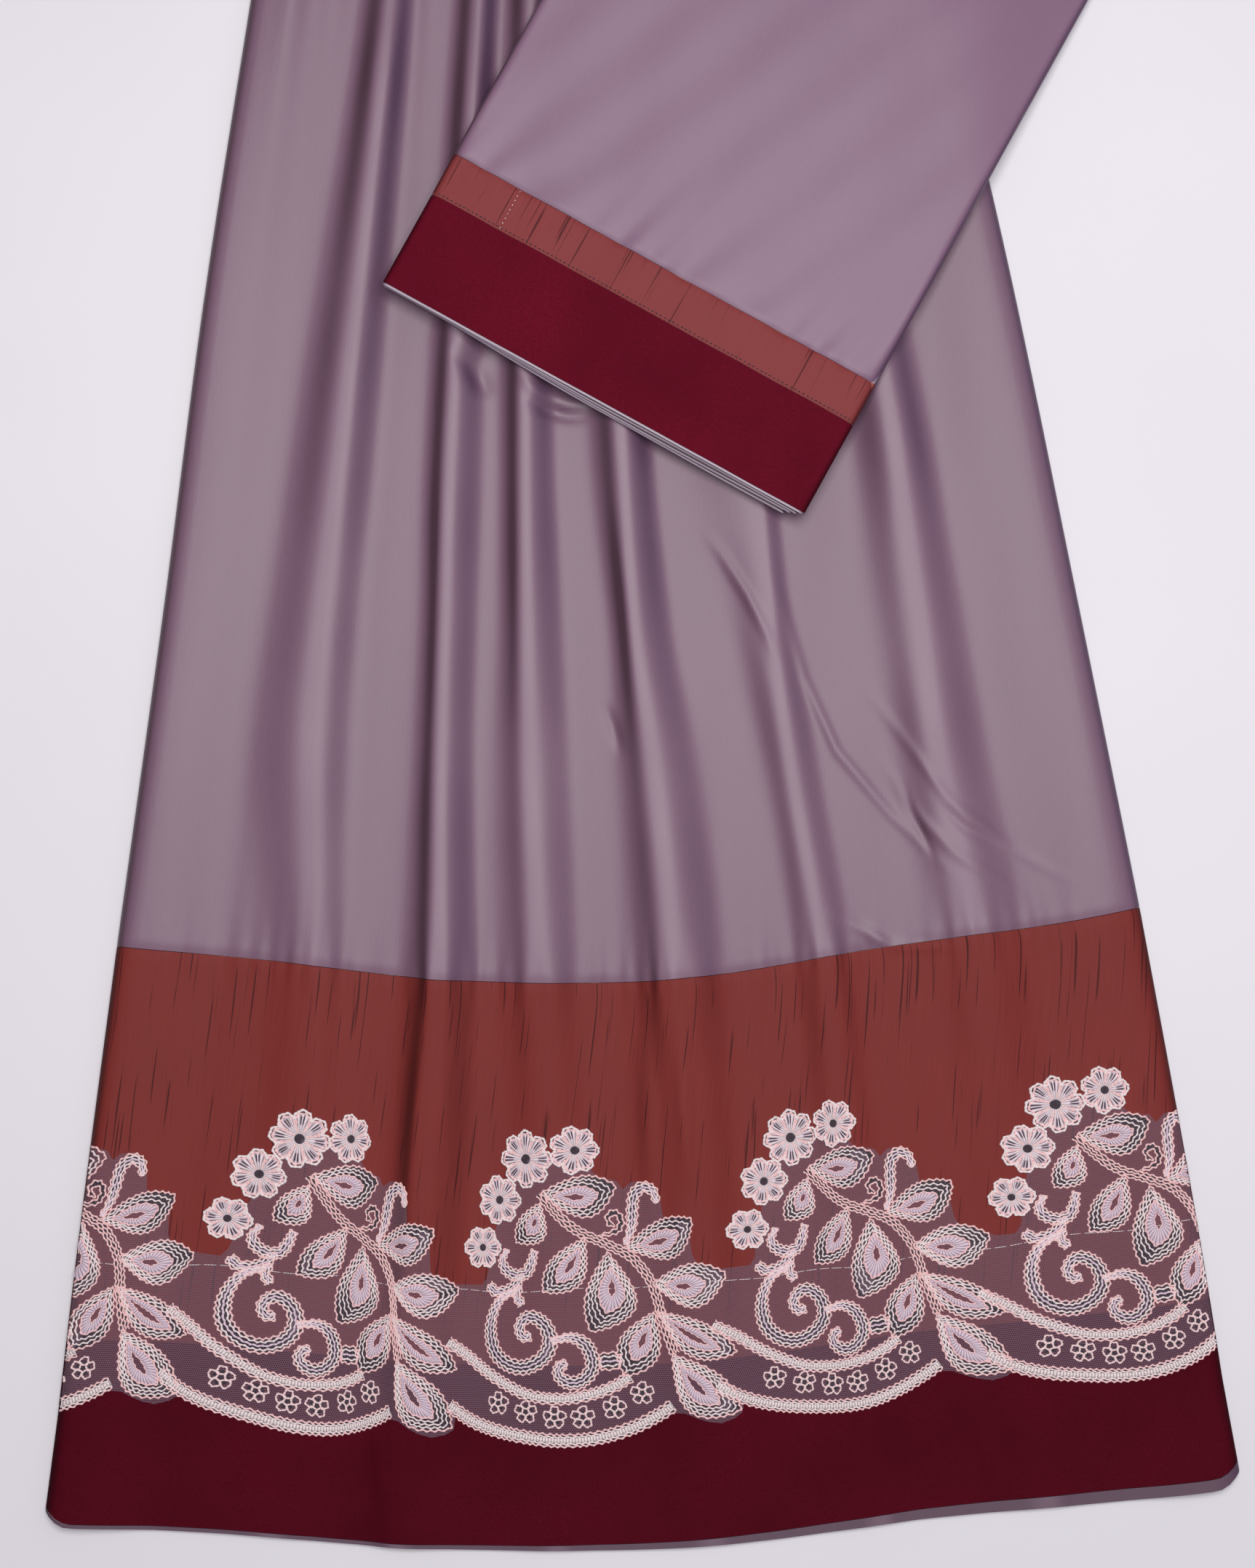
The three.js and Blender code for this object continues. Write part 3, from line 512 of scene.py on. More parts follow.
# ---- Waistband --------------------------------------------------------------------------------
# The panel's top edge, folded over into a casing of the same satin and stitched down over a wide
# elastic, which draws it up into small gathers.

waistband = skirt_tube("waistband", WAISTBAND_BOTTOM + SEAM, SKIRT_LENGTH, 22, mauve_satin, swell=0.6)
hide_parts("waistband_front", "waistband_back")

# ---- Rust band --------------------------------------------------------------------------------
# Dupion, a crisp plain weave with a dull shine. Thick places in its uneven yarn, the slubs, run
# from the hem upwards as short dark dashes.

MAROON_TOP = 104.0


def dupion(name, dark, light, slub):
    """Dupion: fine upright ribs every 1.1 mm, drawn coarser than they are, and slubs about 0.5 mm
    wide and 5 to 50 mm long, where a stretched noise passes a threshold. Painted shade darkens its
    slopes."""
    material, tree = new_material(name)
    uv = add(tree, "ShaderNodeUVMap", uv_map="cloth").outputs["UV"]
    place = add(tree, "ShaderNodeTexCoord").outputs["Object"]
    fine = add(tree, "ShaderNodeMapping", {"Vector": uv, "Scale": (900.0, 30.0, 1.0)})
    ribs = add(tree, "ShaderNodeTexNoise", {"Vector": fine.outputs[0], "Scale": 1.0, "Detail": 3.0})
    drawn = {"Vector": uv, "Scale": (620.0, 14.0, 1.0), "Location": (3.7, 1.3, 0)}
    long = add(tree, "ShaderNodeMapping", drawn)
    streak = add(tree, "ShaderNodeTexNoise", {"Vector": long.outputs[0], "Scale": 1.0, "Detail": 1.0})
    cloud = add(tree, "ShaderNodeTexNoise", {"Vector": place, "Scale": 14.0, "Detail": 3.0})
    fine_shade = add(tree, "ShaderNodeMath", {0: ribs.outputs["Fac"], 1: 0.6}, operation="MULTIPLY")
    shades = {0: cloud.outputs["Fac"], 1: 0.4, 2: fine_shade.outputs[0]}
    shade = add(tree, "ShaderNodeMath", shades, operation="MULTIPLY_ADD")
    colours = {0: shade.outputs[0], 6: linear(dark), 7: linear(light)}
    yarn = add(tree, "ShaderNodeMix", colours, data_type="RGBA")
    threshold = {"Value": streak.outputs["Fac"], "From Min": 0.65, "From Max": 0.7}
    mask = add(tree, "ShaderNodeMapRange", threshold)
    slubs = {0: mask.outputs[0], 6: yarn.outputs[2], 7: linear(slub)}
    colour = add(tree, "ShaderNodeMix", slubs, data_type="RGBA")
    raised = {0: mask.outputs[0], 1: 0.8, 2: ribs.outputs["Fac"]}
    height = add(tree, "ShaderNodeMath", raised, operation="MULTIPLY_ADD")
    relief = {"Height": height.outputs[0], "Strength": 0.25, "Distance": WEAVE}
    finish_material(tree, {
        "Base Color": painted_slope_shade(tree, colour, "#2c0c0e", "#3c1214", 0.7), "Roughness": 0.6,
        "Specular IOR Level": 0.16, "Normal": add(tree, "ShaderNodeBump", relief).outputs[0]})
    return material


rust_dupion = dupion("dupion_rust", "#6a2321", "#81302c", "#471314")
rust_band = skirt_tube("rust_band", MAROON_TOP + SEAM, RUST_TOP - SEAM, 92, rust_dupion)
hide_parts("rust_band_front", "rust_band_back")

# ---- Maroon band ------------------------------------------------------------------------------
# A smooth, matt crêpe in deep maroon, sewn under the rust band and turned at the hem.

FACING_LEFT = 2.2
FACING_RIGHT = 6.5


def crepe(name, dark, light):
    """Crêpe: tightly twisted yarn with a pebbled, matt face, drawn as a noise of 1.2 mm grains."""
    material, tree = new_material(name)
    place = add(tree, "ShaderNodeTexCoord").outputs["Object"]
    pebble = add(tree, "ShaderNodeTexNoise", {"Vector": place, "Scale": 850.0, "Detail": 2.0})
    cloud = add(tree, "ShaderNodeTexNoise", {"Vector": place, "Scale": 16.0, "Detail": 4.0})
    shades = {0: cloud.outputs["Fac"], 1: pebble.outputs["Fac"]}
    shade = add(tree, "ShaderNodeMath", shades, operation="MULTIPLY")
    shade = add(tree, "ShaderNodeMath", {0: shade.outputs[0], 1: 2.0}, operation="MULTIPLY")
    colours = {0: shade.outputs[0], 6: linear(dark), 7: linear(light)}
    colour = add(tree, "ShaderNodeMix", colours, data_type="RGBA")
    relief = {"Height": pebble.outputs["Fac"], "Strength": 0.2, "Distance": WEAVE}
    # Painted shade: the crêpe's slopes are mixed towards a near-black maroon.
    finish_material(tree, {
        "Base Color": painted_slope_shade(tree, colour, "#1c0108", "#26030c", 0.6), "Roughness": 0.8,
        "Specular IOR Level": 0.06, "Normal": add(tree, "ShaderNodeBump", relief).outputs[0]})
    return material


maroon_crepe = crepe("crepe_maroon", "#3e0311", "#56091b")


def hem_line(u):
    """How far the facing reaches up from the hem: it is turned further out towards the right."""
    return FACING_LEFT + (FACING_RIGHT - FACING_LEFT) * smooth(0.25, 0.95, u)


maroon_band = skirt_tube("maroon_band", lambda u: hem_line(u) + SEAM, MAROON_TOP - SEAM, 46, maroon_crepe)
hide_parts("maroon_band_front", "maroon_band_back")

# ---- Hem facing -------------------------------------------------------------------------------
# A strip of the mauve satin that faces the hem from inside and shows as a thin line below the
# maroon, stitched along its edge.

# The facing's satin is a darker copy of the skirt's mauve satin: painted shade along the hem.
hem_satin = satin("polyester_satin_facing", "#533c4e", "#624859", 0.5)
hem_facing = skirt_tube("hem_facing", 0.0, lambda u: hem_line(u) - SEAM, 4, hem_satin)
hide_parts("hem_piping_front", "hem_piping_back")

# ---- Lace net ---------------------------------------------------------------------------------
# A strip of fine mauve tulle, cut out round its embroidery above and below, and tacked over the
# seam of the two bands. q runs along it from the first whole repeat, s runs along one repeat and
# t goes up from the lace's base line.

LACE_BASE = 60.0
NET_OUT = 0.45  # how far the net lies off the bands

# Where the lace lies across the width. It is drawn in a little where it crosses the steep fold.
LACE_Q = [-60, 8, 49, 81, 108, 162, 201, 304, 353, 433, 456, 505, 560, 600]
LACE_U = [0.0, 0.108, 0.185, 0.237, 0.272, 0.3475, 0.402, 0.568, 0.645, 0.763, 0.803, 0.889, 0.977, 1.032]

# Each repeat is listed one by one: where it starts, how far it is raised there, how it tilts and
# leans, how tall it is, and whether its blooms show. The skirt's side cuts the first one off.
REPEATS = [
    {"start": -152, "raised": -2.0, "tilt": 0.02, "lean": 0.085, "tall": 1.0, "blooms": False},
    {"start": 0, "raised": 6.5, "tilt": -0.08, "lean": 0.085, "tall": 1.0, "blooms": True},
    {"start": 152, "raised": 0.0, "tilt": 0.0, "lean": -0.01, "tall": 1.0, "blooms": True},
    {"start": 304, "raised": 9.5, "tilt": -0.03, "lean": 0.0, "tall": 0.965, "blooms": True},
    {"start": 456, "raised": 8.0, "tilt": -0.015, "lean": 0.015, "tall": 0.96, "blooms": True},
]

# The net's upper and lower edge along one repeat, cut close round the embroidery.
NET_HIGH = [(-2, 89), (21, 89), (24.5, 94), (26, 108), (30, 122), (33, 137), (42, 148), (50, 160),
            (64, 164), (77, 164), (84, 157), (90, 150), (100.5, 148), (104, 143), (109, 147),
            (116, 147.5), (123, 143), (125.5, 136), (126.5, 126), (140, 125), (141.5, 121), (142, 107),
            (144, 101), (152, 95), (161, 92.5), (164, 89)]
NET_LOW = [(-2, 14), (3, 15), (10, 12), (20, 7.5), (33, 3), (47, 0), (66, -2), (85, -1), (105, 4.5),
           (119, 11.5), (128, 16), (134, 15.5), (140, 12.5), (146, 10), (153, 8.5), (160, 10.5),
           (165, 14)]


def in_repeat(row, s, t):
    """A point (s, t) of one repeat as (q, t) along the whole lace."""
    return row["start"] + s + row["lean"] * (t - 110), row["tall"] * t + row["raised"] + row["tilt"] * s


def net_edge(q, outline, keep):
    """The net's edge at q: the highest (keep is max) or lowest (keep is min) of the repeats' edges."""
    outline = np.array(outline, float)
    missing = -np.inf if keep is np.max else np.inf
    levels = []
    for row in REPEATS:
        at, level = in_repeat(row, *outline.T)
        levels.append(np.interp(q, np.maximum.accumulate(at), level, left=missing, right=missing))
    return keep(levels, axis=0)


def on_bands(q, t, out):
    """A point of the lace: q goes across the width as LACE_U says, t goes up from its base line,
    and out stands away from the bands' face."""
    u = np.clip(through(LACE_Q, LACE_U, q), 0, 1)
    return skirt_point(u, LACE_BASE + t, out)


def tulle(name):
    """Nylon tulle: a see-through net. Its holes are drawn 1.1 mm wide between threads of 0.4 mm,
    and every second row is half a hole aside."""
    material, tree = new_material(name)
    uv = add(tree, "ShaderNodeUVMap", uv_map="cloth").outputs["UV"]
    turned = add(tree, "ShaderNodeMapping", {"Vector": uv, "Scale": (1000.0, 1000.0, 1.0)})
    cells = add(tree, "ShaderNodeTexBrick", {
        "Vector": turned.outputs[0], "Scale": 1.0, "Mortar Size": 0.2, "Mortar Smooth": 0.2,
        "Brick Width": 1.1, "Row Height": 1.1, "Color1": (0, 0, 0, 1), "Color2": (0, 0, 0, 1),
        "Mortar": (1, 1, 1, 1)})
    covered = {"Value": cells.outputs["Color"], "To Min": 0.14, "To Max": 0.6}
    cover = add(tree, "ShaderNodeMapRange", covered)
    finish_material(tree, {"Base Color": linear("#7d6577"), "Roughness": 0.8, "Alpha": cover.outputs[0]})
    return material


mauve_tulle = tulle("nylon_tulle_mauve")
lace_ends = np.interp([0.003, 0.997], LACE_U, LACE_Q)
q, share = np.meshgrid(np.linspace(*lace_ends, 620), np.linspace(0, 1, 34))
t = net_edge(q[0], NET_LOW, np.min) * (1 - share) + net_edge(q[0], NET_HIGH, np.max) * share
net_points = on_bands(q, t, np.full(q.shape, NET_OUT))
net_uv = np.stack([q, t], axis=-1) / 1000
lace_net = make_piece("lace_net", net_points, grid_faces(*q.shape), net_uv, mauve_tulle)
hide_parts("lace_front")

# ---- Lace embroidery --------------------------------------------------------------------------
# Worked on the net in three ways: thin cords laid down side by side in close waves, pink outside
# and cream inside; padded satin stitch in lilac white; and dark thread that fills between them,
# which also stands for painted shade in the gaps between the cords.
# Each repeat is a branch of leaves with four blooms at its top, scrolls, and two bars along the
# scallop with tiny flowers between them.

# The darkest tone, INK, is both dark thread and painted shade in the gaps between cords and spokes.
PINK, ROSE, CREAM, PEARL, SATIN, INK = 0.0, 0.175, 0.35, 0.45, 0.7, 1.0  # tones of the threads
CORD = 0.56  # a cord's radius
CORD_OUT = 0.5  # how far cords lie off the bands
CORD_PITCH = 1.75  # from one cord to the next in a leaf
WAVE = 4.0  # length of one wave of a cord
SWING = 0.5  # how far the wave goes to either side
STEP = 0.6  # between points along a cord
STITCH = 1.6  # width of one satin stitch
CORD_TURN = np.radians([190, 125, 55, -10])  # the four corners of a laid cord's upper face


def rays(turn):
    """The direction at each angle."""
    return np.stack([np.cos(turn), np.sin(turn)], axis=-1)


def to_left(heading):
    """The direction square to the heading, on its left."""
    return np.stack([-heading[..., 1], heading[..., 0]], axis=-1)


def sewn_part(flat, out, uv, faces, tone):
    """One part of the embroidery: its points as (x, y) with how far each stands out, its UV in
    millimetres, its faces and its tone, one for all its points or one for each."""
    verts = np.concatenate([flat, out[..., None]], axis=-1).reshape(-1, 3)
    uv = np.stack(uv, axis=-1).reshape(-1, 2) / 1000
    return {"verts": verts, "faces": faces, "uv": uv, "tone": np.broadcast_to(tone, len(verts))}


def along_path(path, step, closed=False):
    """Points every step along a line, with the line's direction and the distance run at each."""
    path = np.asarray(path, float)
    if closed:
        path = np.concatenate([path, path[:1]])
    runs = distance_run(path)
    count = max(4, int(round(runs[-1] / step)))
    at = np.linspace(0, runs[-1], count + 1)
    points = np.stack([np.interp(at, runs, line) for line in path.T], axis=-1)
    heading = np.gradient(points, axis=0)
    if closed:
        heading[0] = heading[-1] = points[1] - points[-2]
    heading /= np.linalg.norm(heading, axis=-1, keepdims=True) + 1e-9
    return points, heading, at


def curve_through(points, count=60):
    """A smooth curve through a few points, each coordinate a cubic Hermite of the distance run."""
    points = np.asarray(points, float)
    runs = distance_run(points)
    at = np.linspace(0, runs[-1], count)
    return np.stack([through(runs, line, at) for line in points.T], axis=-1)


def beside(path, offset):
    """The path moved sideways: each point by offset along the left-hand normal."""
    path = np.asarray(path, float)
    heading = np.gradient(path, axis=0)
    heading /= np.linalg.norm(heading, axis=-1, keepdims=True) + 1e-9
    return path + offset * to_left(heading)


def cord(path, tone, radius=CORD, swing=SWING, closed=False):
    """A laid cord: the upper face of a tube whose middle swings from side to side as a sine of the
    distance run and swells a little on each swing. No two cords begin at the same phase, and their
    waves differ a little in length. Its UV stays at the top of one stitch, so it shows no gaps."""
    points, heading, at = along_path(path, STEP, closed)
    own = np.abs(points[0, 0] * 7.3 + points[0, 1] * 3.1) % 1
    turn = 2 * np.pi * (at / (WAVE * (0.85 + 0.35 * own)) + own)
    aside = to_left(heading)
    points = points + aside * (swing * np.sin(turn + 0.8 * np.sin(turn / 3.7)))[:, None]
    width = radius * (1 - 0.22 * np.cos(2 * turn))[:, None]
    flat = points[:, None, :] + aside[:, None, :] * (width * np.cos(CORD_TURN))[..., None]
    out = CORD_OUT + 1.4 * width * (np.sin(CORD_TURN) + 0.17)
    uv = np.full(out.shape, STITCH / 4), np.broadcast_to(CORD_TURN, out.shape)
    return sewn_part(flat, out, uv, grid_faces(len(at), 4), tone)


def ribbon(left, right, tone, lift=0.6, height=0.9, columns=5):
    """Satin stitch between two lines: a strip whose height over its width is 1 - w^2."""
    left, right = np.asarray(left, float), np.asarray(right, float)
    w = np.linspace(-1, 1, columns)
    share = (w + 1) / 2
    flat = left[:, None, :] * (1 - share)[None, :, None] + right[:, None, :] * share[None, :, None]
    out = np.broadcast_to(lift + height * (1 - w**2), flat.shape[:2])
    uv = np.broadcast_arrays(distance_run((left + right) / 2)[:, None], share)
    return sewn_part(flat, out, uv, grid_faces(len(left), columns), tone)


def ground(left, right):
    """Dark thread and painted shade between cords: a flat dark strip just above the net."""
    return ribbon(left, right, INK, lift=0.52, height=0.0, columns=2)


def leaf_sides(base, tip, bulges, inset=0.0, count=34):
    """A leaf's two sides from base to tip, drawn in by inset. Over its length v a leaf is as wide
    as sin(pi * v^1.25)^0.8, and its middle line bows towards its fuller side in the same way."""
    base, tip = np.asarray(base, float), np.asarray(tip, float)
    axis = tip - base
    length = np.hypot(*axis)
    normal = to_left(axis) / length
    inner = 0.5 - 0.5 * np.cos(np.linspace(0, np.pi, count))
    v = inner * (1 - 3.0 * inset / length) + 1.2 * inset / length
    bow = (bulges[0] - bulges[1]) / 2 * np.sin(np.pi * v**1.25) ** 0.8
    half = ((bulges[0] + bulges[1]) / 2 - inset) * np.abs(np.sin(np.pi * inner**1.25)) ** 0.8
    middle = base + v[:, None] * axis
    return middle + (bow + half)[:, None] * normal, middle + (bow - half)[:, None] * normal


def leaf_outline(base, tip, bulges, inset=0.0):
    """The two sides joined into one closed line."""
    left, right = leaf_sides(base, tip, bulges, inset)
    return np.concatenate([left, right[-2:0:-1]])


def leaf(base, tip, bulges):
    """One leaf: a pink cord, then cream ones and a pink one again side by side on dark thread with
    painted shade, and inside them a padded ring of satin stitch round an open slit, which has a thin
    cord of its own."""
    half = (bulges[0] + bulges[1]) / 2
    ring = 0.5 * half
    slit = 0.92 * half - 0.9
    shape = base, tip, bulges
    count = max(2, int(round(ring / CORD_PITCH)))
    made = []
    for number in range(count + 1):
        tone = PINK if number in (0, count) else CREAM
        outline = leaf_outline(*shape, 0.96 * ring * number / count)
        radius = CORD if number == 0 else 0.49
        made.append(cord(outline, tone, radius, swing=0.48 - 0.04 * number, closed=True))
    for number in (0, 1):
        outer, middle = leaf_sides(*shape, ring)[number], leaf_sides(*shape, slit)[number]
        made.append(ribbon(outer, middle, SATIN, height=1.1))
        made.append(ground(leaf_sides(*shape, 0.3)[number], outer))
    made.append(cord(leaf_outline(*shape, slit), PINK, 0.3, 0.25, True))
    return made


def bloom(centre, radius, petals):
    """A flower: satin stitch fans out from a dark middle with dark gaps of painted shade between its
    spokes, sunk a little, and meets two cords that swing deep in between the petals, where pink cords
    part them."""
    steps, gaps = 18, (1, 2, 6, 12, 16, 17)  # round one petal, and those that are dark
    columns, notch = 7, (3, 4, 5)  # out from the middle, and how far out the gaps are dark
    turn = np.linspace(0, 2 * np.pi, petals * steps + 1)
    petal = np.abs(np.cos(petals * turn / 2)) ** 0.5
    ray = rays(turn)
    centre = np.asarray(centre, float)
    rim = centre + ray * (radius * (0.65 + 0.32 * petal))[:, None]
    inside = centre + ray * (radius * (0.56 + 0.31 * petal))[:, None]
    made = [
        cord(rim[:-1], CREAM, radius=0.72, swing=0.3, closed=True),
        cord(inside[:-1], PINK, radius=0.5, swing=0.3, closed=True),
    ]
    padding = (0.1 + petal)[:, None]
    # Painted shade: the gaps between the spokes take the darkest tone.
    dark = np.isin(np.arange(len(turn)) % steps, gaps)[:, None] & np.isin(np.arange(columns), notch)
    tone = np.where(dark, INK, PEARL).ravel()
    fan = ribbon(centre + ray * (radius * 0.17), inside, tone, height=padding, columns=columns)
    fan["verts"][:, 2] -= (0.5 * dark).ravel()
    made += [fan, ground(centre + ray * 0.3, rim)]
    for number in range(petals):
        way = ray[number * steps + steps // 2]
        aside = to_left(way) * radius * 0.05
        for side in (-1, 1):
            ends = centre + way * radius * 0.22, centre + way * radius * 0.66 + side * aside
            made.append(cord(ends, PINK, radius=0.5, swing=0.1))
    return made


def tiny_flower(centre, radius):
    """A small open flower: five loops of rose cord round a dark middle."""
    ray = rays(np.linspace(0, 2 * np.pi, 16, endpoint=False))
    made = [ground(centre + ray * 0.1, centre + ray * radius * 0.62)]
    for number in range(5):
        ahead = rays(2 * np.pi * (number + 0.25) / 5)
        loop = ahead * (0.6 + 0.36 * ray[:, :1]) + to_left(ahead) * 0.36 * ray[:, 1:]
        made.append(cord(centre + radius * loop, ROSE, radius=0.54, swing=0.3, closed=True))
    return made


def scroll(at, width, taper=0.45):
    """A scroll: pink cord round it and, where it is wide enough, a cream one inside and a lilac one
    along its middle, on dark thread and painted shade. Its width grows from taper to 1 over its
    first third and shrinks to 0.65 at its end."""
    path = curve_through(at, 90)
    share = np.linspace(0, 1, len(path))[:, None]
    half = width / 2 * (taper + (1 - taper) * smooth(0, 0.35, share))
    half = half * (1 - 0.35 * smooth(0.7, 1, share))
    made = [ground(beside(path, half), beside(path, -half))]
    made.append(cord(np.concatenate([beside(path, half), beside(path, -half)[::-1]]), PINK, closed=True))
    if width > 4:
        inner = np.concatenate([beside(path, half * 0.55), beside(path, -half * 0.55)[::-1]])
        made.append(cord(inner, CREAM, radius=0.54, swing=0.38, closed=True))
        made.append(cord(path, SATIN, radius=0.56, swing=0.25))
    return made


def bar(points, width):
    """A bar along the scallop: cream satin stitch between two cream cords and two pink ones."""
    path = curve_through(points, 130)
    half = width / 2
    made = [ground(beside(path, half), beside(path, -half))]
    made += [cord(beside(path, side * half), PINK) for side in (-1, 1)]
    made += [cord(beside(path, side * half * 0.58), CREAM, radius=0.45, swing=0.3) for side in (-1, 1)]
    made.append(ribbon(beside(path, half * 0.42), beside(path, -half * 0.42), CREAM, height=0.9))
    return made


BLOOMS = [
    {"centre": (49.5, 160.5), "radius": 16.5, "petals": 8},
    {"centre": (77.5, 165.5), "radius": 13.8, "petals": 7},
    {"centre": (32, 137), "radius": 14, "petals": 7},
    {"centre": (21, 110), "radius": 12, "petals": 6},
]
LEAVES = [
    {"base": (58.5, 141.5), "tip": (100, 145), "bulges": (7.4, 16)},
    {"base": (58, 136), "tip": (43, 113.5), "bulges": (12.5, 5.3)},
    {"base": (82, 116), "tip": (59, 86), "bulges": (13.5, 7)},
    {"base": (94.5, 108), "tip": (84.5, 63), "bulges": (21, 7)},
    {"base": (104, 110), "tip": (143.5, 124.5), "bulges": (7, 15.5)},
    {"base": (118.5, 89.5), "tip": (159.5, 92), "bulges": (8.5, 16)},
    {"base": (121, 73.5), "tip": (162.5, 47.5), "bulges": (7, 12.5)},
    {"base": (119, 73.5), "tip": (102, 38), "bulges": (12, 10.5)},
    {"base": (128, 49.5), "tip": (163, 14.5), "bulges": (8, 17.5)},
]
STEM = [(58, 141.5), (64, 133.5), (73, 124), (80.5, 118.5), (93.5, 112.5), (106.5, 105.5), (113, 98.5),
        (118, 90.5), (121, 81), (123, 72), (125.5, 62.5), (129.5, 49.5)]
SCROLLS = [
    {"at": [(104.5, 112), (108, 120.5), (109, 131), (110.5, 140), (115.5, 144), (121, 142),
            (123, 135.5)], "width": 6},
    {"at": [(91, 117), (100.5, 120), (102.5, 126), (99, 130), (95.5, 128), (96, 123.5),
            (98.5, 123)], "width": 2.8},
    {"at": [(37, 109), (34, 102.5), (36.5, 97.5), (42, 95), (48.5, 96), (52, 101.5), (54, 109)],
     "width": 6},
    {"at": [(25.5, 89), (29, 85.5), (35.5, 85.5), (42, 89), (47, 95)], "width": 5.5, "taper": 1.0},
    {"at": [(46, 78.5), (43, 84), (45, 88.5)], "width": 5, "taper": 1.0},
    {"at": [(43, 86), (34, 82), (28.5, 74), (26.5, 63.5), (29, 52), (36.5, 45), (47, 43), (57.5, 48),
            (62, 56), (60.5, 65.5), (54.5, 71), (48.5, 71), (44.5, 65), (47, 60), (51, 61)],
     "width": 7.8},
    {"at": [(63, 58), (73, 60), (80.5, 56.5), (84.5, 48.5), (84, 41), (78, 35), (71, 35), (66.5, 39.5),
            (67.5, 44.5), (71, 45)], "width": 7.2},
    {"at": [(89, 46), (94, 46.3), (100, 46.5)], "width": 9.5, "taper": 0.9},
]
UPPER_BAR = [(-0.5, 56.5), (11, 49.5), (23.5, 40.5), (36.5, 33), (49.5, 27.5), (66.5, 25.5), (83, 27.5),
             (96, 32), (105, 37.5)]
LOWER_BAR = [(0.5, 21), (13.5, 13), (29, 7.5), (47, 4), (66.5, 2), (85.5, 3), (105, 8.5), (119.5, 15.5),
             (127.5, 20.5)]
TINY_FLOWERS = [(31.5, 22.5), (48, 18), (64, 15), (79, 15), (96, 20), (111, 28)]


def lace_repeat(blooms):
    """All of one repeat's embroidery, as a list of parts in (s, t, out), with its blooms or not."""
    made = bar(UPPER_BAR, 5.8) + bar(LOWER_BAR, 6.6)
    for row in LEAVES:
        made += leaf(**row)
    for row in BLOOMS if blooms else []:
        made += bloom(**row)
    for row in SCROLLS:
        made += scroll(**row)
    stem = curve_through(STEM, 80)
    made.append(ground(beside(stem, 2.1), beside(stem, -2.1)))
    made += [cord(beside(stem, side), PINK, radius=0.5, swing=0.35) for side in (-2.4, -0.8, 0.8, 2.4)]
    for centre in TINY_FLOWERS:
        made += tiny_flower(np.array(centre), 6.6)
    return made


# Rayon thread: bright and smooth, stitches 1.6 mm wide with painted shade in the gaps between them.
thread, tree = new_material("rayon_embroidery_thread")
tone = add(tree, "ShaderNodeAttribute", attribute_name="tone").outputs["Fac"]
ramp = add(tree, "ShaderNodeValToRGB", {"Fac": tone})
ramp.color_ramp.elements[0].color = linear("#ecc1c2")
# The darkest stop is dark thread and painted shade between cords.
ramp.color_ramp.elements[1].color = linear("#301e2f")
for place, code in ((CREAM, "#e8d8da"), (SATIN, "#d9c2d2")):
    stop = ramp.color_ramp.elements.new(place)
    stop.color = linear(code)
uv = add(tree, "ShaderNodeUVMap", uv_map="cloth").outputs["UV"]
parted = add(tree, "ShaderNodeSeparateXYZ", {"Vector": uv})
along = {0: parted.outputs[0], 1: 1000 * 2 * np.pi / STITCH}
turns = add(tree, "ShaderNodeMath", along, operation="MULTIPLY")
stitch = add(tree, "ShaderNodeMath", {0: turns.outputs[0]}, operation="SINE")
# Painted shade: between stitches the colour is darkened to 0.4 of itself.
low = {"Value": stitch.outputs[0], "From Min": -1.0, "From Max": 0.0, "To Min": 0.4}
gap = add(tree, "ShaderNodeMapRange", low)
parts = {0: 1.0, 6: ramp.outputs[0], 7: gap.outputs[0]}
colour = add(tree, "ShaderNodeMix", parts, data_type="RGBA", blend_type="MULTIPLY")
bump = add(tree, "ShaderNodeBump", {"Height": stitch.outputs[0], "Strength": 0.3, "Distance": WEAVE})
finish_material(tree, {
    "Base Color": colour.outputs[2], "Roughness": 0.55, "Specular IOR Level": 0.4,
    "Sheen Weight": 0.2, "Normal": bump.outputs[0]})


def sew(name, parts, place, material=thread, within=None):
    """Joins parts into one piece, with its points put where place says. Faces that within leaves
    out, such as those past the skirt's sides, are dropped."""
    verts, uv, tone = (np.concatenate([part[key] for part in parts]) for key in ("verts", "uv", "tone"))
    offsets = np.cumsum([0] + [len(part["verts"]) for part in parts[:-1]])
    faces = np.concatenate([part["faces"] + offset for part, offset in zip(parts, offsets)])
    if within is not None:
        faces = faces[np.all(within(verts)[faces], axis=1)]
    used = np.unique(faces)
    index = np.zeros(len(verts), dtype=int)
    index[used] = np.arange(len(used))
    return make_piece(name, place(*verts[used].T), index[faces], uv[used], material, tone[used])


def on_skirt(verts):
    """Whether each point (q, t, out) lies between the skirt's sides."""
    return (verts[:, 0] > lace_ends[0]) & (verts[:, 0] < lace_ends[1])


for number, row in enumerate(REPEATS, start=1):
    parts = lace_repeat(row["blooms"])
    for part in parts:
        part["verts"][:, :2] = np.stack(in_repeat(row, *part["verts"][:, :2].T), axis=-1)
    spray = sew(f"lace_embroidery_{number}", parts, on_bands, within=on_skirt)

# ---- Tacking thread ---------------------------------------------------------------------------
# White running stitches hold the net to the bands, in one wandering line under the upper scallop.


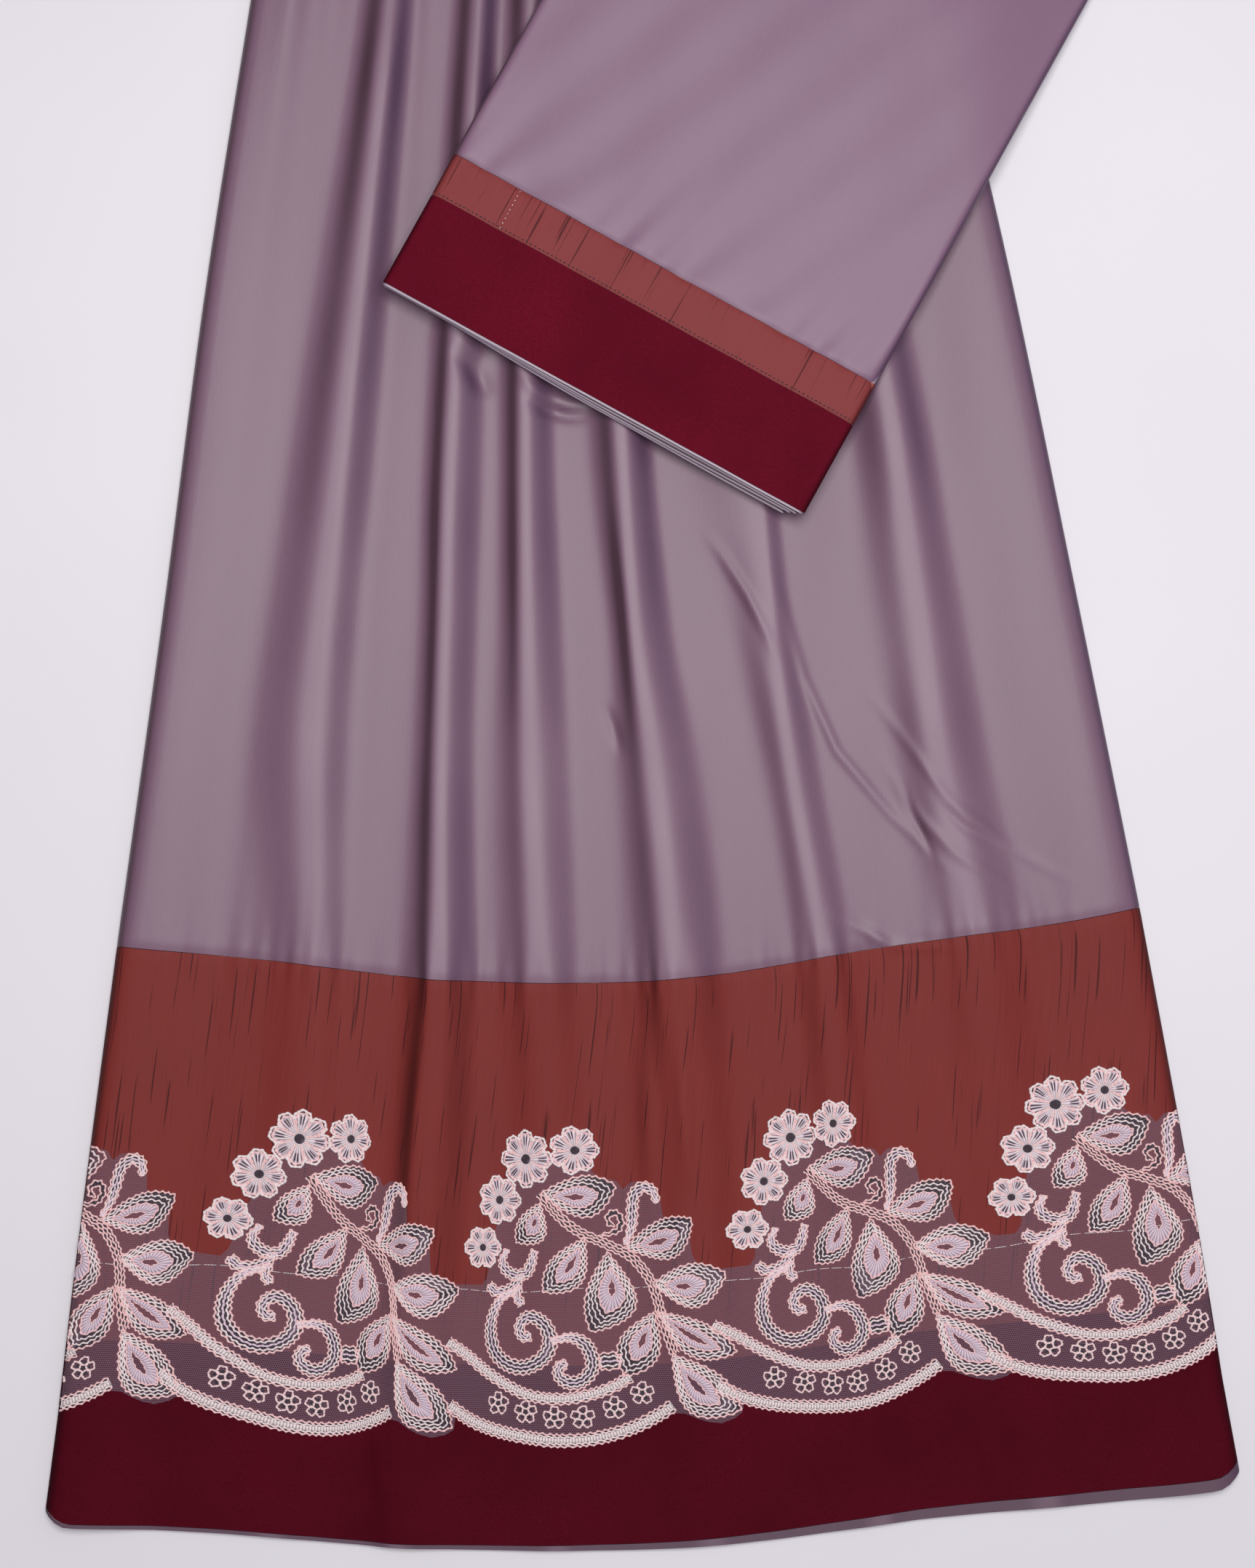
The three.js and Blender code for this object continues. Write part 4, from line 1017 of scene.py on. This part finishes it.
def running_stitches(path, long, gap, radius, out, tone=CREAM):
    """A row of stitches along a line: each is a short flattened tube that dips into the cloth at
    both ends."""
    points, heading, at = along_path(path, min(0.8, long / 3))
    pitch = long + gap
    phase = np.mod(at, pitch) / long
    rise = np.sqrt(np.clip(1 - (2 * phase - 1) ** 2, 0, 1))
    turn = np.linspace(0, 2 * np.pi, 5, endpoint=False)
    flat = points[:, None, :] + to_left(heading)[:, None, :] * (radius * np.cos(turn))[None, :, None]
    level = out - 0.8 * (1 - rise)[:, None] + radius * np.sin(turn)
    faces = grid_faces(len(at), 5, around=True)[np.repeat(phase[:-1] < 1, 5)]
    return sewn_part(flat, level, np.broadcast_arrays(at[:, None], turn), faces, tone)


run = np.linspace(*lace_ends, 220)
wander = 87 + 1.5 * np.sin(run / 37) + 0.8 * np.sin(run / 11)
tacking_row = running_stitches(np.stack([run, wander], axis=-1), 6.5, 1.2, 0.22, 0.7)
tacking = sew("lace_tacking", [tacking_row], on_bands, within=on_skirt)

# ---- The pardi's hidden layers ----------------------------------------------------------------
# The pardi is a wide hooded cape of the same cloths. It is folded lengthwise into a strip and
# then in half, so that several layers lie under the one that shows. At the hem they slip a
# little out from under each other, and their piped edges show side by side.
# s runs along the pardi's hem and t away from the hem.

PARDI_WIDTH = 272.0
PARDI_LENGTH = 400.0
PARDI_CORNER = np.array([-139.0, 715.5])
PARDI_SLANT = np.radians(-28.9)
PARDI_REST = 14.0  # height of its underside on the skirt's folds
SIDE_DROP = (-15.0, 115.0)  # where it sinks to the table, from the skirt's right side
WAIST_DROP = (5.0, 115.0)  # and from the waist
PARDI_PIPING, PARDI_MAROON, PARDI_RUST = 1.3, 58.5, 84.5  # where each ends, from the pardi's hem
PARDI_STACK = 7.0  # thickness of the hidden layers
LAYERS = 3
LAYER_PIPING = 0.6


def pardi_place(s, t):
    """The point (s, t) seen from above: from the hem's left corner, s along the slanted hem and t
    square to it."""
    x = PARDI_CORNER[0] + s * np.cos(PARDI_SLANT) - t * np.sin(PARDI_SLANT)
    return x, PARDI_CORNER[1] + s * np.sin(PARDI_SLANT) + t * np.cos(PARDI_SLANT)


def pardi_underside(x, y):
    """Height of the pardi's underside: level on the skirt's folds, then sinking to the table past
    the skirt's right side and past its waist."""
    past_side = x - side_x(RIGHT_X, np.minimum(y, SKIRT_LENGTH))
    drop = (1 - smooth(*SIDE_DROP, past_side)) * (1 - smooth(*WAIST_DROP, y - SKIRT_LENGTH))
    return PARDI_REST * drop


def pardi_point(s, t, above):
    """A point of the pardi at its height above the underside."""
    x, y = pardi_place(s, t)
    return np.stack([x, y, pardi_underside(x, y) + above], axis=-1)


def crowded(length, count, edge=5.0):
    """Places from 0 to length, closer together within edge of both ends."""
    turn = edge * (1 - np.cos(np.linspace(0, np.pi / 2, 6)))
    middle = np.linspace(edge, length - edge, count)
    return np.concatenate([turn[:-1], middle, length - turn[-2::-1]])


def pardi_cloths(name):
    """The pardi's cloths on one piece: piping, maroon, rust and mauve by distance from its hem. Its
    maroon is darkened to a painted shadow that falls between the layers' piped edges.
    """
    material, tree = new_material(name)
    uv = add(tree, "ShaderNodeUVMap", uv_map="cloth").outputs["UV"]
    parted = add(tree, "ShaderNodeSeparateXYZ", {"Vector": uv})
    ramp = add(tree, "ShaderNodeMapRange", {"Value": parted.outputs[1], "From Max": 0.1})
    bands = add(tree, "ShaderNodeValToRGB", {"Fac": ramp.outputs[0]})
    bands.color_ramp.interpolation = "CONSTANT"
    bands.color_ramp.elements[0].color = linear("#b3a2b3")
    bands.color_ramp.elements[1].position = LAYER_PIPING / 100
    # Painted shadow: the maroon after the piping is darkened to stand for the shade between layers.
    bands.color_ramp.elements[1].color = linear("#331524")
    for edge, code in ((PARDI_MAROON, "#8b3a33"), (PARDI_RUST, "#877285")):
        stop = bands.color_ramp.elements.new(edge / 100)
        stop.color = linear(code)
    place = add(tree, "ShaderNodeTexCoord").outputs["Object"]
    grain = add(tree, "ShaderNodeTexNoise", {"Vector": place, "Scale": 700.0})
    relief = {"Height": grain.outputs["Fac"], "Strength": 0.15, "Distance": WEAVE}
    bump = add(tree, "ShaderNodeBump", relief)
    finish_material(tree, {"Base Color": bands.outputs[0], "Roughness": 0.5, "Normal": bump.outputs[0]})
    return material


layer_cloths = pardi_cloths("pardi_layer_edges")
layer_height = PARDI_STACK / LAYERS
points, faces, uv, start = [], [], [], 0
for layer in range(LAYERS):
    slip = LAYERS - layer  # the lowest layer slips furthest
    s, t = np.meshgrid(crowded(PARDI_WIDTH - 2, 24) + 1, crowded(PARDI_LENGTH - 1, 30))
    edge = np.minimum.reduce([s - 1, PARDI_WIDTH - 1 - s, t, PARDI_LENGTH - 1 - t])
    half = (layer_height / 2 - 0.1) * np.sqrt(1 - (1 - np.clip(edge / 0.9, 0, 1)) ** 2)
    slipped = slip * 1.2 + 0.3 * np.sin(s / 31 + 2.0 * layer)
    bow = slipped * smooth(0.08, 0.55, s / PARDI_WIDTH) * smooth(30, 0, t)
    s = s * (1 - 0.012 * slip * smooth(40, 0, t))
    ragged = 0.4 * np.sin(s / 9 + 2.1 * layer) + 0.5 * np.sin(t / 23 + 1.7 * layer)
    for sign in (1, -1):
        above = layer_height * (layer + 0.5) + sign * half
        points.append(pardi_point(s + ragged * smooth(20, 60, t), t - bow, above))
        uv.append(np.stack([s, t], axis=-1) / 1000)
        grid = grid_faces(*s.shape) + start
        faces.append(grid if sign > 0 else grid[:, ::-1])
        start += s.size
points, faces, uv = (np.concatenate(grids) for grids in (points, faces, uv))
pardi_layers = make_piece("pardi_layers", points, faces, uv, layer_cloths)
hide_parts("pardi_folded_layers")

# ---- The pardi's uppermost layer --------------------------------------------------------------
# Mauve satin with a narrow rust band, a maroon band and a pale piping at its hem, each sewn to the
# next. Its two long sides are folds, so they turn down round the layers below.

PANEL_ABOVE = PARDI_STACK + 1.7


def pardi_height(s, t):
    """Height of the uppermost layer over the pardi's underside: level but for a slight unevenness,
    short slanting puckers above the rust band's seam, the two sunk seams and the turned-down sides
    and end, which are quarter ellipses 5 mm wide."""
    edge = np.minimum(np.minimum(s, PARDI_WIDTH - s), PARDI_LENGTH - t)
    turned = 1 - np.sqrt(1 - (1 - np.clip(edge / 5, 0, 1)) ** 2)
    above = PANEL_ABOVE - 3.2 * turned + 0.9 * ripple(s * 1.5, t * 0.6, (45, 70, 105, 150), 9)
    pucker = np.sin((s - 0.35 * t) / 4.1 + 1.9 * np.sin(s / 19)) + 0.6 * np.sin((s - 0.2 * t) / 9.3 + 2.2)
    from_seam = t - PARDI_RUST
    above = above + 0.42 * pucker * np.exp(-np.maximum(0, from_seam) / 20) * smooth(-6, 2, from_seam)
    for seam, depth, width in ((PARDI_RUST, 0.6, 1.5), (PARDI_MAROON, 0.35, 1.6)):
        above = above - depth * np.exp(-(((t - seam) / width) ** 2))
    return above


def on_pardi(s, t, out):
    """A point that stands out from the uppermost layer."""
    return pardi_point(s, t, pardi_height(s, t) + out)


def pardi_cloth(name, low, high, rows, material):
    """One strip of the uppermost layer between two distances from its hem."""
    s, t = np.meshgrid(crowded(PARDI_WIDTH, 150), np.linspace(low, high, rows))
    uv = np.stack([s, t], axis=-1) / 1000
    return make_piece(name, on_pardi(s, t, 0), grid_faces(*s.shape), uv, material)


# The pardi's maroon crêpe, rust dupion and mauve satin are lighter copies of the skirt's cloths: painted
# light.
lit_maroon = crepe("crepe_light_maroon", "#4c0617", "#670c23")
pale_satin = satin("polyester_satin_pale", "#9c8a9b", "#b0a0ae", 0.5)
lit_dupion = dupion("dupion_light_rust", "#742c2f", "#8b3c3d", "#50191c")
lit_satin = satin("polyester_satin_light_mauve", "#74556f", "#83617a", 0.44)
pardi_panel = pardi_cloth("pardi_panel_cloth", PARDI_RUST + SEAM, PARDI_LENGTH, 190, lit_satin)
pardi_rust = pardi_cloth("pardi_rust_cloth", PARDI_MAROON + SEAM, PARDI_RUST - SEAM, 16, lit_dupion)
pardi_maroon = pardi_cloth("pardi_maroon_cloth", PARDI_PIPING + SEAM, PARDI_MAROON - SEAM, 30, lit_maroon)
pardi_piping = pardi_cloth("pardi_piping_cloth", 0.0, PARDI_PIPING - SEAM, 4, pale_satin)
for piece, node, slot in (
    (pardi_panel, "pardi_panel", "mauve_satin"),
    (pardi_rust, "pardi_rust_band", "rust_dupion"),
    (pardi_maroon, "pardi_maroon_band", "maroon_cloth"),
    (pardi_piping, "pardi_piping", "mauve_satin"),
):
    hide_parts(node)

# One row of white basting dots, left in across the rust band, and a dark topstitch along its edge.
edge_line = [(s, PARDI_MAROON + 1.6) for s in (3, PARDI_WIDTH - 3)]
topstitch = running_stitches(edge_line, 1.9, 0.8, 0.34, 0.15, INK)
basting = running_stitches([(43.5, PARDI_MAROON + 1), (43.4, PARDI_RUST)], 1.0, 1.9, 0.28, 0.3)
pardi_stitching = sew("pardi_stitching", [topstitch, basting], on_pardi)
